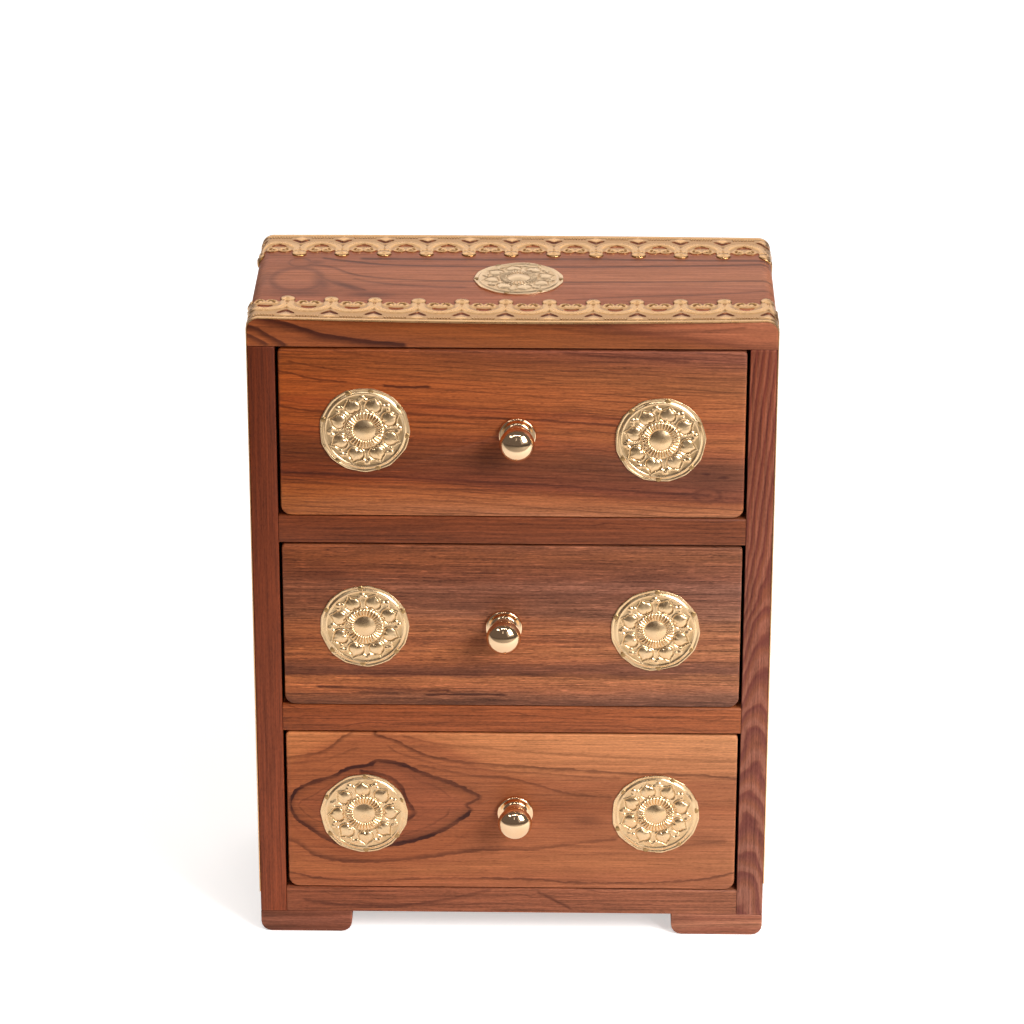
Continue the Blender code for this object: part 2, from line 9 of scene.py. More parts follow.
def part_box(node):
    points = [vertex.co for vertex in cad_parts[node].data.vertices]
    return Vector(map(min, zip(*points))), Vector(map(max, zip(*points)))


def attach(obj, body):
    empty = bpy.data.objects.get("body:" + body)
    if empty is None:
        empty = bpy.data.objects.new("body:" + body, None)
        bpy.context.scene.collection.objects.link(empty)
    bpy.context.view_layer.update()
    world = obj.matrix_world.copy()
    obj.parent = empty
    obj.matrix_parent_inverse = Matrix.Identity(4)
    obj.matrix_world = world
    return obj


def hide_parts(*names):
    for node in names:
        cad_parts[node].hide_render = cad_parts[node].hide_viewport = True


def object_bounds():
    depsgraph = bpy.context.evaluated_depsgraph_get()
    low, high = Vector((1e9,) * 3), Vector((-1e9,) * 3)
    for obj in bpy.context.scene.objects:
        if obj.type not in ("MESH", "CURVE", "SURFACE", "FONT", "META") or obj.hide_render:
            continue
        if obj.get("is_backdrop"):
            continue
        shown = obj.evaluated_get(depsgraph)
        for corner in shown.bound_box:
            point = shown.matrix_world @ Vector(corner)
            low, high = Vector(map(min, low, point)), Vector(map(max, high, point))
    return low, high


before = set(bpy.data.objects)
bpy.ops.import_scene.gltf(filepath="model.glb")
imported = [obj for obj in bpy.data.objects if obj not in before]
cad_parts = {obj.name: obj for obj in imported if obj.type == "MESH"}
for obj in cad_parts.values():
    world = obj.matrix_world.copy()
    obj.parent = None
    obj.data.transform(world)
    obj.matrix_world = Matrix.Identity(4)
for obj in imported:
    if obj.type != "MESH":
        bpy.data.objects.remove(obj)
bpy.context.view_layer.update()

scene = bpy.context.scene
scene.view_settings.view_transform = "Standard"


def placed(name, data):
    """A new object for a mesh, a light or a camera, put into the scene."""
    piece = bpy.data.objects.new(name, data)
    scene.collection.objects.link(piece)
    return piece


def meshed(bm, name):
    """The mesh of a finished bmesh, which is then freed."""
    mesh = bpy.data.meshes.new(name)
    bm.to_mesh(mesh)
    bm.free()
    return mesh


def smoothed(mesh, degrees):
    """Shades a mesh smooth, apart from edges sharper than an angle."""
    mesh.shade_smooth()
    mesh.set_sharp_from_angle(angle=math.radians(degrees))


def new_material(name):
    """A new material, with its node tree and its shader."""
    material = bpy.data.materials.new(name)
    material.use_nodes = True
    tree = material.node_tree
    return material, tree, tree.nodes["Principled BSDF"]


# The view: a long lens a metre and a half in front of the chest, looking down on it.
# The chest stands near the front edge of a pale table in a dim room with soft light from above and the right.
lens = bpy.data.cameras.new("camera")
lens.sensor_width = 36.0
lens.lens = 149.4
camera = placed("camera", lens)
camera.location = (0.02255, -1.5285, 0.83445)
turned = Matrix.Rotation(math.radians(0.867), 3, "Z")
tipped = Matrix.Rotation(math.radians(66.408), 3, "X")
rolled = Matrix.Rotation(math.radians(0.089), 3, "Z")
camera.rotation_euler = (turned @ tipped @ rolled).to_euler()
scene.camera = camera


def linear(code):
    """An sRGB hex colour as linear red, green, blue and a full alpha."""
    parts = [int(code[place:place + 2], 16) / 255 for place in (1, 3, 5)]
    return [part / 12.92 if part < 0.04045 else ((part + 0.055) / 1.055) ** 2.4 for part in parts] + [1.0]


def fill(tree, node, inputs):
    """Links or sets the inputs of a node, listed in order or given by name or number."""
    for key, value in inputs.items() if isinstance(inputs, dict) else enumerate(inputs):
        if isinstance(value, bpy.types.NodeSocket):
            tree.links.new(value, node.inputs[key])
        else:
            node.inputs[key].default_value = value


def add(tree, kind, inputs=(), operation=None, out=0, **settings):
    """Adds a node, sets it up, fills its inputs and gives back one of its outputs, if it has any.

    A kind without Node in its name is a shader node.
    """
    node = tree.nodes.new(kind if "Node" in kind else "ShaderNode" + kind)
    if operation:
        node.operation = operation
    for key, value in settings.items():
        setattr(node, key, value)
    fill(tree, node, inputs)
    return node.outputs[out] if len(node.outputs) else None


def softbox(name, place, aim, width, height, watts, mirrored=True):
    """A rectangle of soft light that faces a point."""
    lamp = bpy.data.lights.new(name, "AREA")
    lamp.shape = "RECTANGLE"
    lamp.size = width
    lamp.size_y = height
    lamp.energy = watts
    box = placed(name, lamp)
    box.location = place
    box.rotation_euler = (Vector(aim) - Vector(place)).to_track_quat("-Z", "Y").to_euler()
    box.visible_camera = False
    box.visible_glossy = mirrored


softbox("window_left_half", (0.70, -0.90, 0.85), (0, 0, 0.12), 0.22, 0.72, 8.4)
softbox("window_right_half", (0.90, -0.70, 0.85), (0, 0, 0.12), 0.22, 0.72, 8.4)
softbox("window_wall", (0.95, -1.10, 0.80), (0, 0, 0.12), 1.10, 0.90, 1.5)
softbox("door_gap", (-0.12, -1.60, 1.25), (0, 0, 0.12), 0.06, 0.50, 0.2)
softbox("left_softbox", (-0.85, -0.75, 1.35), (0, 0, 0.12), 0.45, 0.20, 1.7)
softbox("overhead_softbox", (0.05, 0.10, 1.60), (0, 0.05, 0), 2.00, 1.60, 5.5, mirrored=False)
for step in range(4):
    softbox(f"ceiling_lamp_{step + 1}", (0.24 * step - 0.36, -0.75, 1.45), (0, 0, 0.15), 0.08, 0.08, 0.6)
softbox("rear_panel", (0, 2.00, 1.05), (0, 0, 0.26), 3.00, 1.30, 9.0)
softbox("high_rear_panel", (0, 1.30, 1.80), (0, 0, 0.26), 2.60, 1.40, 8.0)
room = bpy.data.worlds.new("dim_room")
room.use_nodes = True
room.node_tree.nodes["Background"].inputs["Color"].default_value = linear("#6b6563")
scene.world = room

table = bpy.data.meshes.new("table_top")
table_half = 6.0
table_corners = [(table_half * x, table_half * y, 0) for x, y in ((-1, -1), (1, -1), (1, 1), (-1, 1))]
table.from_pydata(table_corners, [], [(0, 1, 2, 3)])
table_top = placed("table_top", table)
# The eye sees white paper everywhere. The brass mirrors greyer paper from a little way in front of the chest.
paper, tree, shader = new_material("white_paper_on_table")
place = add(tree, "TexCoord", out="Object")
forward = add(tree, "SeparateXYZ", [place], out="Y")
lit = add(tree, "MapRange", [forward, -0.40, -0.30], interpolation_type="SMOOTHSTEP")
pale = add(tree, "Mix", {0: lit, 6: linear("#a09c96"), 7: linear("#fbfaf8")}, out=2, data_type="RGBA")
seen = add(tree, "LightPath", out="Is Camera Ray")
mirrored = add(tree, "LightPath", out="Is Glossy Ray")
through = add(tree, "LightPath", out="Is Transmission Ray")
seen = add(tree, "Math", [seen, through], "MAXIMUM")
lift = add(tree, "MapRange", {0: lit, 3: 3.6, 4: 0.55})
bright = add(tree, "Math", [seen, lift], "MULTIPLY")
dim = add(tree, "Math", [mirrored, lit], "MULTIPLY")
dim = add(tree, "Math", [dim, 0.12], "MULTIPLY")
glow = add(tree, "Math", [bright, dim], "MAXIMUM")
fill(tree, shader, {
    "Base Color": pale, "Emission Color": pale, "Emission Strength": glow,
    "Roughness": 0.9, "Specular IOR Level": 0.1,
})
table.materials.append(paper)
table_top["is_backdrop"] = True


# The two side boards: uprights of reddish teak, planed and oiled, with the grain running up.
# The dividers and the bottom are housed in them; only their front edges and outer faces show.
def softened(node, reach=0.0003):
    """A copy of a board with its sharp edges rounded over, as sandpaper leaves them."""
    bm = bmesh.new()
    bm.from_mesh(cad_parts[node].data)
    bmesh.ops.remove_doubles(bm, verts=bm.verts, dist=1e-6)
    bmesh.ops.dissolve_limit(bm, angle_limit=math.radians(0.5), verts=bm.verts, edges=bm.edges)
    sharp = [edge for edge in bm.edges if len(edge.link_faces) == 2]
    sharp = [edge for edge in sharp if edge.calc_face_angle() > math.radians(30)]
    bmesh.ops.bevel(bm, geom=sharp, offset=reach, segments=2, profile=0.5, affect="EDGES", clamp_overlap=True)
    bmesh.ops.recalc_face_normals(bm, faces=bm.faces)
    mesh = meshed(bm, node + "_wood")
    smoothed(mesh, 35)
    return placed(node + "_wood", mesh)


def traced_rings(tree, run, rise, reach, height, lines):
    """How dark the wood is along ring lines that show on a board.

    Each line is (depth, fade above, fade below, points), with points (run, rise) in millimetres from the
    middle. The slope to a point a little ahead keeps the width of a line even where it is steep.
    """
    a_little = 0.006
    end_fade = 0.8
    share = add(tree, "MapRange", [run, -reach, reach])
    ahead = add(tree, "Math", [share, a_little], "ADD")
    total = 0.0
    for strong, above, below, points in lines:
        levels = []
        for place in (share, ahead):
            level = add(tree, "FloatCurve", {"Value": place})
            mapping = level.node.mapping
            mapping.extend = "HORIZONTAL"
            spots = [((x + reach) / (2 * reach), (y + height) / (2 * height)) for x, y in points]
            curve = mapping.curves[0]
            curve.points[0].location = spots[0]
            curve.points[1].location = spots[-1]
            for spot in spots[1:-1]:
                curve.points.new(*spot)
            for point in curve.points:
                point.handle_type = "AUTO_CLAMPED"
            mapping.update()
            levels.append(level)
        climb = add(tree, "Math", [levels[1], levels[0]], "SUBTRACT")
        climb = add(tree, "Math", [climb, height / (a_little * reach)], "MULTIPLY")
        steep = add(tree, "Math", [climb, climb, 1.0], "MULTIPLY_ADD")
        steep = add(tree, "Math", [steep], "SQRT")
        level = add(tree, "Math", [levels[0], 2 * height, -height], "MULTIPLY_ADD")
        gap = add(tree, "Math", [rise, level], "SUBTRACT")
        gap = add(tree, "Math", [gap, steep], "DIVIDE")
        core = 0.56 * strong ** 2
        upper = add(tree, "MapRange", [gap, core, core + above, strong, 0.0])
        lower = add(tree, "MapRange", [gap, -core - below, -core, 0.0, strong])
        line = add(tree, "Math", [upper, lower], "MINIMUM")
        start = add(tree, "MapRange", [run, points[0][0] - end_fade, points[0][0] + end_fade])
        end = add(tree, "MapRange", [run, points[-1][0] + end_fade, points[-1][0] - end_fade])
        shown = add(tree, "Math", [start, end], "MULTIPLY")
        line = add(tree, "Math", [line, shown], "MULTIPLY")
        total = add(tree, "Math", [line, total], "MAXIMUM")
    return total


def teak(name, node, along, across, stops, figure=None, traced=(), edge=(), smudges=(),
         left=(1, 1, 1), right=(1, 1, 1), seed=0.0, warp=(4.0, 1.2, 0.3), lines=(3.2, 0.35),
         fibre=0.40, pores=0.35, flecks=0.0, wear=0.35, ragged=1.2):
    """Oiled teak: brown ground in growth bands, dark ring lines, fine fibres and pores, paler worn arrises.

    Lengths are in millimetres from the board's middle. stops are (place across the rings, colour) and figure
    bends them. traced and edge are ring lines seen on the board's face and on its front edge. smudges are
    soft dark patches (depth, run, rise, half run, half rise, lean), hollow where a seventh value gives the
    width of the outline. left and right tone the board from one end of the grain to the other, partly as the
    wood's own colour and partly as painted light. Fibres and pores are drawn about twice as wide as they are,
    so that they show.
    """
    material, tree, shader = new_material(name)
    low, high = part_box(node)
    middle = (low + high) / 2
    half = (high - low) * 500
    place = add(tree, "TexCoord", out="Object")
    centred = add(tree, "VectorMath", [place, middle], "SUBTRACT")
    local = add(tree, "VectorMath", {0: centred, "Scale": 1000.0}, "SCALE")
    parts = add(tree, "SeparateXYZ", [local]).node.outputs
    depth = (set("XYZ") - {along, across}).pop()
    a, c, d = parts[along], parts[across], parts[depth]
    grain = add(tree, "CombineXYZ", [a, c, d])
    shift = (seed * 31.0, seed * 17.0, seed * 7.0)

    def streaks(length, width, detail, offset=0.0):
        """Noise drawn out along the grain, about 0 to 1."""
        moved = [part + offset for part in shift]
        stretch = (1 / length, 1 / width, 1 / width)
        scaled = add(tree, "VectorMath", [grain, stretch, moved], "MULTIPLY_ADD")
        return add(tree, "TexNoise", {"Vector": scaled, "Scale": 1.0, "Detail": detail, "Roughness": 0.6})

    wavy = 0.0
    for amount, (length, width) in zip(warp, ((70, 18), (16, 6), (4.5, 2.4))):
        swirl = add(tree, "Math", [streaks(length, width, 2.0), 0.5], "SUBTRACT")
        wavy = add(tree, "Math", [swirl, amount, wavy], "MULTIPLY_ADD")
    bent_a = add(tree, "Math", [a, wavy], "ADD")
    bent_c = add(tree, "Math", [c, wavy], "ADD")
    phase = figure(tree, bent_a, bent_c, d) if figure else bent_c

    first, last = stops[0][0], stops[-1][0]
    share = add(tree, "MapRange", [phase, first, last])
    ground = add(tree, "ValToRGB", [share])
    ramp = ground.node.color_ramp
    for index, (reach, colour) in enumerate(stops):
        spot = (reach - first) / (last - first)
        stop = ramp.elements[index] if index < 2 else ramp.elements.new(spot)
        stop.position = spot
        stop.color = linear(colour)

    spacing, strength = lines
    edges = add(
        tree, "TexVoronoi", {"W": phase, "Scale": 1 / spacing},
        voronoi_dimensions="1D", feature="DISTANCE_TO_EDGE",
    )
    dark = add(tree, "MapRange", [edges, 0.0, 0.42 / spacing, strength, 0.0])
    coming = add(tree, "MapRange", [streaks(50, 6, 1.0), 0.36, 0.58, 0.35, 1.0])
    dark = add(tree, "Math", [dark, coming], "MULTIPLY")
    teeth = add(tree, "Math", [streaks(5.0, 1.6, 2.0, offset=3.0), 0.5], "SUBTRACT")
    reach, height, deep = (half["XYZ".index(axis)] for axis in (along, across, depth))
    patchy = add(tree, "MapRange", [coming, 0.35, 1.0, 0.7, 1.0])
    facing = add(tree, "MapRange", [c, -height + 1.2, -height + 0.6])
    for rings, rise, tall, shown in ((traced, c, height, patchy), (edge, d, deep, facing)):
        if rings:
            jagged = add(tree, "Math", [teeth, ragged, rise], "MULTIPLY_ADD")
            drawn = traced_rings(tree, a, jagged, reach, tall, rings)
            drawn = add(tree, "Math", [drawn, shown], "MULTIPLY")
            dark = add(tree, "Math", [dark, drawn], "MAXIMUM")
    for strong, run, rise, half_run, half_rise, lean, *outline in smudges:
        up = add(tree, "Math", [bent_c, rise], "SUBTRACT")
        aside = add(tree, "Math", [up, -lean, bent_a], "MULTIPLY_ADD")
        aside = add(tree, "Math", [aside, run], "SUBTRACT")
        aside = add(tree, "Math", [aside, half_run], "DIVIDE")
        up = add(tree, "Math", [up, half_rise], "DIVIDE")
        away = add(tree, "CombineXYZ", [aside, up])
        away = add(tree, "VectorMath", [away], "LENGTH", out="Value")
        for width in outline:
            away = add(tree, "Math", [away, 1.0], "SUBTRACT")
            away = add(tree, "Math", [away], "ABSOLUTE")
            away = add(tree, "Math", [away, width], "DIVIDE")
        patch = add(
            tree, "MapRange", [away, 0.0, 1.0, strong, 0.0], interpolation_type="SMOOTHSTEP",
        )
        dark = add(tree, "Math", [dark, patch], "MAXIMUM")
    pitted = add(tree, "MapRange", [streaks(3.6, 0.40, 1.0), 0.58, 0.74, 0.0, pores])
    dark = add(tree, "Math", [dark, pitted], "MAXIMUM")
    streaked = add(tree, "Mix", {0: dark, 6: ground, 7: linear("#3f1a12")}, out=2, data_type="RGBA")
    fine = streaks(18, 0.42, 2.0, offset=5.0)
    fibres = add(tree, "Math", [streaks(64, 1.0, 2.0), fine], "ADD")
    shade = add(tree, "MapRange", [fibres, 0.65, 1.35, 1 - fibre, 1 + fibre])
    pale = add(tree, "MapRange", [streaks(6, 0.55, 1.0, offset=9.0), 0.60, 0.72, 0.0, flecks])
    shade = add(tree, "Math", [shade, pale], "ADD")
    speckled = add(tree, "Math", [streaks(1.5, 0.45, 1.0, offset=13.0), 0.5], "SUBTRACT")
    shade = add(tree, "Math", [speckled, 1.45 * fibre, shade], "MULTIPLY_ADD")
    # Partly painted light: left and right shade the board from one end of the grain to the other, together
    # with the wood's own change of colour.
    along_board = add(tree, "MapRange", [a, -reach, reach])
    tone = add(tree, "Mix", {0: along_board, 6: (*left, 1), 7: (*right, 1)}, out=2, data_type="RGBA")
    toned = add(tree, "VectorMath", {0: streaked, "Scale": shade}, "SCALE")
    toned = add(tree, "VectorMath", [toned, tone], "MULTIPLY")

    inset = add(tree, "VectorMath", [local], "ABSOLUTE")
    inset = add(tree, "VectorMath", [half, inset], "SUBTRACT")
    sides = add(tree, "SeparateXYZ", [inset]).node.outputs
    nearer = add(tree, "Math", [sides[0], sides[1]], "MINIMUM")
    farther = add(tree, "Math", [sides[0], sides[1]], "MAXIMUM")
    farther = add(tree, "Math", [farther, sides[2]], "MINIMUM")
    arris = add(tree, "Math", [nearer, farther], "MAXIMUM")
    uneven = add(tree, "TexNoise", {"Vector": local, "Scale": 0.35, "Detail": 3.0})
    arris = add(tree, "Math", [uneven, -1.4, arris], "MULTIPLY_ADD")
    rubbed = add(
        tree, "MapRange", [arris, -0.35, 0.30, wear, 0.0], interpolation_type="SMOOTHSTEP",
    )
    paler = add(tree, "VectorMath", [toned, (1.45, 1.55, 1.65)], "MULTIPLY")
    colour = add(tree, "Mix", {0: rubbed, 6: toned, 7: paler}, out=2, data_type="RGBA")

    rough = add(tree, "MapRange", [fibres, 0.7, 1.3, 0.54, 0.42])
    relief = add(tree, "Math", [dark, -1.2, fibres], "MULTIPLY_ADD")
    bump = add(tree, "Bump", {"Strength": 0.5, "Distance": 0.00008, "Height": relief})
    fill(tree, shader, {"Base Color": colour, "Roughness": rough, "Normal": bump, "Specular IOR Level": 0.22})
    return material


ring_spacing = 13.1


def right_side_rings(tree, a, c, d):
    """Nested arches below and slanting stripes above along the front edge, straight rings behind it."""
    crown = add(tree, "Math", [a, -0.053, c], "MULTIPLY_ADD")
    crown = add(tree, "Math", [crown, -2.6], "ADD")
    bow = add(tree, "Math", [crown, crown], "MULTIPLY")
    steep = add(tree, "MapRange", [a, -90.0, 20.0, 0.22, 0.46])
    arches = add(tree, "Math", [bow, steep, a], "MULTIPLY_ADD")
    place = add(tree, "CombineXYZ", [a, c, d])
    wander = add(tree, "TexNoise", {"Vector": place, "Scale": 0.06, "Detail": 2.0})
    arches = add(tree, "Math", [wander, 22.0, arches], "MULTIPLY_ADD")
    stripes = add(tree, "Math", [a, 0.53, 38.0], "MULTIPLY_ADD")
    stripes = add(tree, "Math", [c, -5.4, stripes], "MULTIPLY_ADD")
    higher = add(tree, "MapRange", [a, 10.0, 60.0], interpolation_type="SMOOTHSTEP")
    rings = add(tree, "Mix", {0: higher, 2: arches, 3: stripes})
    straight = add(tree, "Math", [d, 0.9, 300.0], "MULTIPLY_ADD")
    straight = add(tree, "Math", [a, 0.04, straight], "MULTIPLY_ADD")
    behind = add(tree, "MapRange", [d, -45.0, -30.0], interpolation_type="SMOOTHSTEP")
    rings = add(tree, "Mix", {0: behind, 2: rings, 3: straight})
    return add(tree, "Math", [rings, ring_spacing], "FLOORED_MODULO")


left_stops = [
    (-60, "#6d3220"), (-30, "#7a3b29"), (-12, "#682f1e"), (0, "#763828"), (14, "#682f1f"), (40, "#7c3d2b"),
]
right_stops = [
    (0, "#a0624b"), (2.5, "#a86a53"), (6, "#98593f"), (9, "#8a4d3d"), (11, "#7f4337"), (12.3, "#8a4d3c"),
    (ring_spacing, "#a0624b"),
]
# left and right shade each side board from its foot to its top: partly the wood's colour, partly painted
# light.
left = softened("left_side")
left.data.materials.append(teak(
    "teak_left_side", "left_side", "Z", "Y", left_stops, left=(1.36, 1.33, 0.93), right=(0.67, 0.55, 0.33),
    seed=1.0, lines=(4.0, 0.30), fibre=0.42,
))
right = softened("right_side")
right.data.materials.append(teak(
    "teak_right_side", "right_side", "Z", "X", right_stops, right_side_rings, left=(0.87, 0.89, 0.94),
    right=(0.59, 0.45, 0.385), seed=2.0, warp=(3.0, 1.0, 0.3), lines=(9.0, 0.12), fibre=0.38,
))
for board, node in ((left, "left_side"), (right, "right_side")):
    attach(board, "carcass")
    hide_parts(node)


# The bottom board and the two dividers: teak boards let into the sides, their front edges flush with them.
# They carry the drawers, so their upper faces are rubbed by the drawer bottoms.
def shelf_rings(tree, a, c, d):
    """Rings that lie aslant in the thickness."""
    return add(tree, "Math", [c, 1.6, d], "MULTIPLY_ADD")


# The last two tuples shade each board from its left end to its right: partly the wood's colour, partly
# painted light.
shelves = {
    "bottom_board": (
        "#93573f", "#8a4f3a", "#9a5d44", "#6f3c2d", "#9b5f46", "#8e543e",
        3.0, (0.94, 0.79, 0.63), (0.94, 1.00, 0.95),
    ),
    "lower_divider": (
        "#965234", "#9d5737", "#8c482d", "#a05a39", "#944c2f", "#a25d3d",
        4.0, (0.95, 0.79, 0.52), (0.99, 1.00, 0.84),
    ),
    "upper_divider": (
        "#7a412b", "#80462f", "#6e3824", "#834a33", "#733a26", "#7e452e",
        5.0, (0.96, 0.78, 0.50), (0.89, 0.865, 0.70),
    ),
}
veins = {
    "bottom_board": [
        (0.60, 0.6, 1.3, [(-83, 0), (-68, -2.2), (-52, -2.7), (-36, -1.5), (-28, 0), (-8, 4.9)]),
        (0.60, 0.9, 0.7, [(10, 4.2), (16, 0.9), (24, -3.6)]),
        (0.40, 0.3, 0.4, [(24, -2.7), (55, -1.4)]),
    ],
}
for node, (*tones, seed, left_tone_and_light, right_tone_and_light) in shelves.items():
    stops = [(9 * step - 22, tone) for step, tone in enumerate(tones)]
    shelf = softened(node)
    shelf.data.materials.append(teak(
        "teak_" + node, node, "X", "Z", stops, shelf_rings, veins.get(node, ()), left=left_tone_and_light,
        right=right_tone_and_light, seed=seed, warp=(16.0, 3.0, 0.5), lines=(6.0, 0.55), fibre=0.52,
    ))
    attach(shelf, "carcass")
    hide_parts(node)


# The top board: one flat-sawn teak board over both sides, its upper ends rounded for the brass to fold over.
# A knot swirls at its left end, and the rings run straight to the right of it.
def top_rings(tree, a, c, d):
    """Straight rings that sweep down across the front edge."""
    front = add(
        tree, "MapRange", [c, -46.0, -38.0, 0.13, 0.0], interpolation_type="SMOOTHSTEP",
    )
    slide = add(tree, "Math", [a, front], "MULTIPLY")
    rings = add(tree, "Math", [d, 0.8, c], "MULTIPLY_ADD")
    return add(tree, "Math", [slide, rings], "ADD")


top_stops = [
    (-68, "#8c4e35"), (-62, "#a0613d"), (-56, "#9a5d3e"), (-51, "#955a36"), (-47, "#965b36"),
    (-41, "#8e5536"), (-38.5, "#7e4a37"), (-36, "#a0654f"), (-22, "#a66c55"), (-10, "#a56b54"),
    (-4, "#a8705a"), (2, "#b0765b"), (10, "#b3785e"), (16, "#ab7159"), (23, "#a9705a"), (40, "#a56c56"),
    (60, "#a06650"),
]
top_lines = [
    (0.72, 1.5, 1.8, [(-60, 20), (-25, 20), (33, 21), (61, 20.3), (102, 20.4)]),
    (0.74, 1.0, 1.6, [
        (-75, 20.5), (-67, 17.7), (-59, 15.5), (-52, 13.9), (-38, 12.5), (15, 12.2), (56, 13.6),
        (102, 16.7),
    ]),
    (0.66, 0.9, 1.4, [
        (-80, 13.2), (-71, 10.3), (-66, 5.8), (-62, 2.5), (-56, -0.1), (-33, -3.8), (18, -4.5), (102, -1.7),
    ]),
    (0.50, 1.4, 1.6, [(-62, -2), (-54, -6), (-35, -9.9), (-18, -11.2)]),
    (0.62, 0.8, 2.2, [(-75, 2), (-73, -2.5), (-70, -5.5), (-66, -8.3), (-62, -10.9), (-56, -15)]),
    (0.55, 0.8, 1.2, [(-88, 14.8), (-86.4, 18.7), (-83, 19.7), (-80, 17.8), (-78.4, 14.6)]),
    (0.55, 1.2, 0.8, [(-88, 14.8), (-86, 11.7), (-83, 10.7), (-79.6, 12), (-78.4, 14.6)]),
    (0.34, 0.8, 1.2, [(-92, 1), (-89.5, 5.4), (-84, 7.4), (-79, 6)]),
    (0.50, 1.5, 1.5, [(20, -24), (45, -20), (75, -17), (102, -12)]),
    (0.80, 2.0, 2.6, [(-101, -37.6), (-50, -39.8), (0, -40.5), (50, -39.8), (101, -37.6)]),
    (0.80, 2.6, 2.0, [(-101, 38.0), (0, 39.0), (101, 38.0)]),
]
top_smudges = [
    (0.44, -84, -4, 9.8, 12.5, 0.0, 0.30), (0.50, -74.4, -7, 5.4, 16, -0.10),
    (0.46, -82, -18, 22, 6.5, 0.0), (0.66, -64.5, -10.5, 6.0, 11, -1.07), (0.60, -54, -19.5, 14, 5.0, -0.6),
    (0.36, -96, -3, 4.6, 15, 0.15), (0.40, -77, 15.5, 5.0, 5.0, 0.0),
]
top_edge_lines = [
    (0.90, 0.40, 2.8, [
        (-101, 7.4), (-91, 5), (-85, 3.7), (-80.5, 2.3), (-75.5, 0.5), (-71.7, -0.7), (-66, -1.5),
        (-54.5, -3.2), (-40, -4.6),
    ]),
    (0.80, 0.40, 2.2, [(-101, 2.9), (-96.6, 1.8), (-93.6, -0.1), (-89.8, -2.3), (-85, -5)]),
    (0.75, 0.40, 2.0, [(-101, -0.3), (-96.7, -2.3), (-92, -5)]),
    (0.35, 0.6, 1.2, [(15, 2.4), (40, 0.8), (70, 1.6), (88, 3.4)]),
]
# left and right shade the top from its left end to its right: partly the wood's colour, partly painted light.
top = softened("top_board")
top.data.materials.append(teak(
    "teak_top", "top_board", "X", "Y", top_stops, top_rings, top_lines, top_edge_lines, top_smudges,
    left=(0.92, 0.67, 0.44), right=(0.88, 0.72, 0.54), seed=6.0, warp=(3.0, 1.0, 0.4), lines=(4.6, 0.20),
    fibre=0.34, pores=0.2, ragged=0.9,
))
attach(top, "carcass")
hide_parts("top_board")

# The back panel: a thin planed board slid into the rebates behind the drawers, left without oil.
# It is paler and flatter than the rest, with the saw's fine lines still in it.
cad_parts["back_panel"].material_slots[0].material = teak(
    "planed_back_board", "back_panel", "Z", "X",
    [(-100, "#a87f5c"), (-50, "#9a7150"), (0, "#ab8260"), (50, "#a0764f"), (100, "#a87c58")],
    seed=7.0, warp=(14.0, 3.0, 0.4), lines=(7.0, 0.35), fibre=0.28, wear=0.2,
)

# The four feet: blocks of teak offcut glued under the corners, their lower ends rounded by hand.
# Each is from another board, so the left pair is darker than the right.
# The last two tuples shade each foot from its left end to its right: partly the wood's colour, partly painted
# light.
feet = {
    "front_left_foot": ("#6f3e30", "#92584a", 8.0, (0.89, 0.85, 0.66), (1.15, 1.06, 0.82)),
    "front_right_foot": ("#a1604a", "#bb7a5e", 9.0, (0.82, 0.83, 0.79), (0.86, 0.85, 0.80)),
    "rear_left_foot": ("#7c4838", "#8c5440", 10.0, (0.95, 0.95, 0.9), (1.0, 1.0, 1.0)),
    "rear_right_foot": ("#9a5e48", "#a96a52", 11.0, (1.0, 1.0, 1.0), (1.0, 1.0, 1.0)),
}
for node, (dark_tone, light_tone, seed, left_tone_and_light, right_tone_and_light) in feet.items():
    stops = [
        (-30, dark_tone), (-7, light_tone), (-3, dark_tone), (0, light_tone), (3, dark_tone),
        (7, light_tone), (30, dark_tone),
    ]
    foot = softened(node, 0.0005)
    foot.data.materials.append(teak(
        "teak_" + node, node, "X", "Z", stops, left=left_tone_and_light, right=right_tone_and_light, seed=seed,
        warp=(8.0, 2.0, 0.4), lines=(3.0, 0.40),
    ))
    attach(foot, "carcass")
    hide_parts(node)


# The brass edging: thin sheet pressed and pierced in a repeat of crests, scrolls and beads. It is bent over
# the top and down both sides along the front and rear edges, with a plain lip at the arris and pinned crests.
def pressed_brass(name, dull, bright, tarnish_and_shade, roughness, dents):
    """Pressed brass sheet: pale gold, rubbed bright on the ridges, brown and duller in the die's recesses,
    partly patina and partly painted shade.

    The recesses are in the mesh's own attribute of that name. The sheet is cloudy in patches of about 4 mm,
    with dents of less than 1 mm.
    """
    material, tree, shader = new_material(name)
    place = add(tree, "TexCoord", out="Object")
    cloudy = add(tree, "TexNoise", {"Vector": place, "Scale": 260.0, "Detail": 3.0})
    tint = add(tree, "Mix", {0: cloudy, 6: linear(dull), 7: linear(bright)}, out=2, data_type="RGBA")
    recess = add(tree, "Attribute", out="Fac", attribute_name="recess")
    # Painted shade, in part: the recesses are browned towards the third colour, both as patina and as the
    # shade in the hollows.
    tint = add(tree, "Mix", {0: recess, 6: tint, 7: linear(tarnish_and_shade)}, out=2, data_type="RGBA")
    rough = add(tree, "MapRange", [cloudy, 0.3, 0.7, roughness * 0.75, roughness * 1.3])
    rough = add(tree, "Math", [recess, 0.12, rough], "MULTIPLY_ADD")
    grit = add(tree, "TexNoise", {"Vector": place, "Scale": 1500.0, "Detail": 2.0})
    bump = add(tree, "Bump", {"Strength": dents, "Distance": 0.00005, "Height": grit})
    fill(tree, shader, {"Base Color": tint, "Roughness": rough, "Normal": bump, "Metallic": 1.0})
    return material


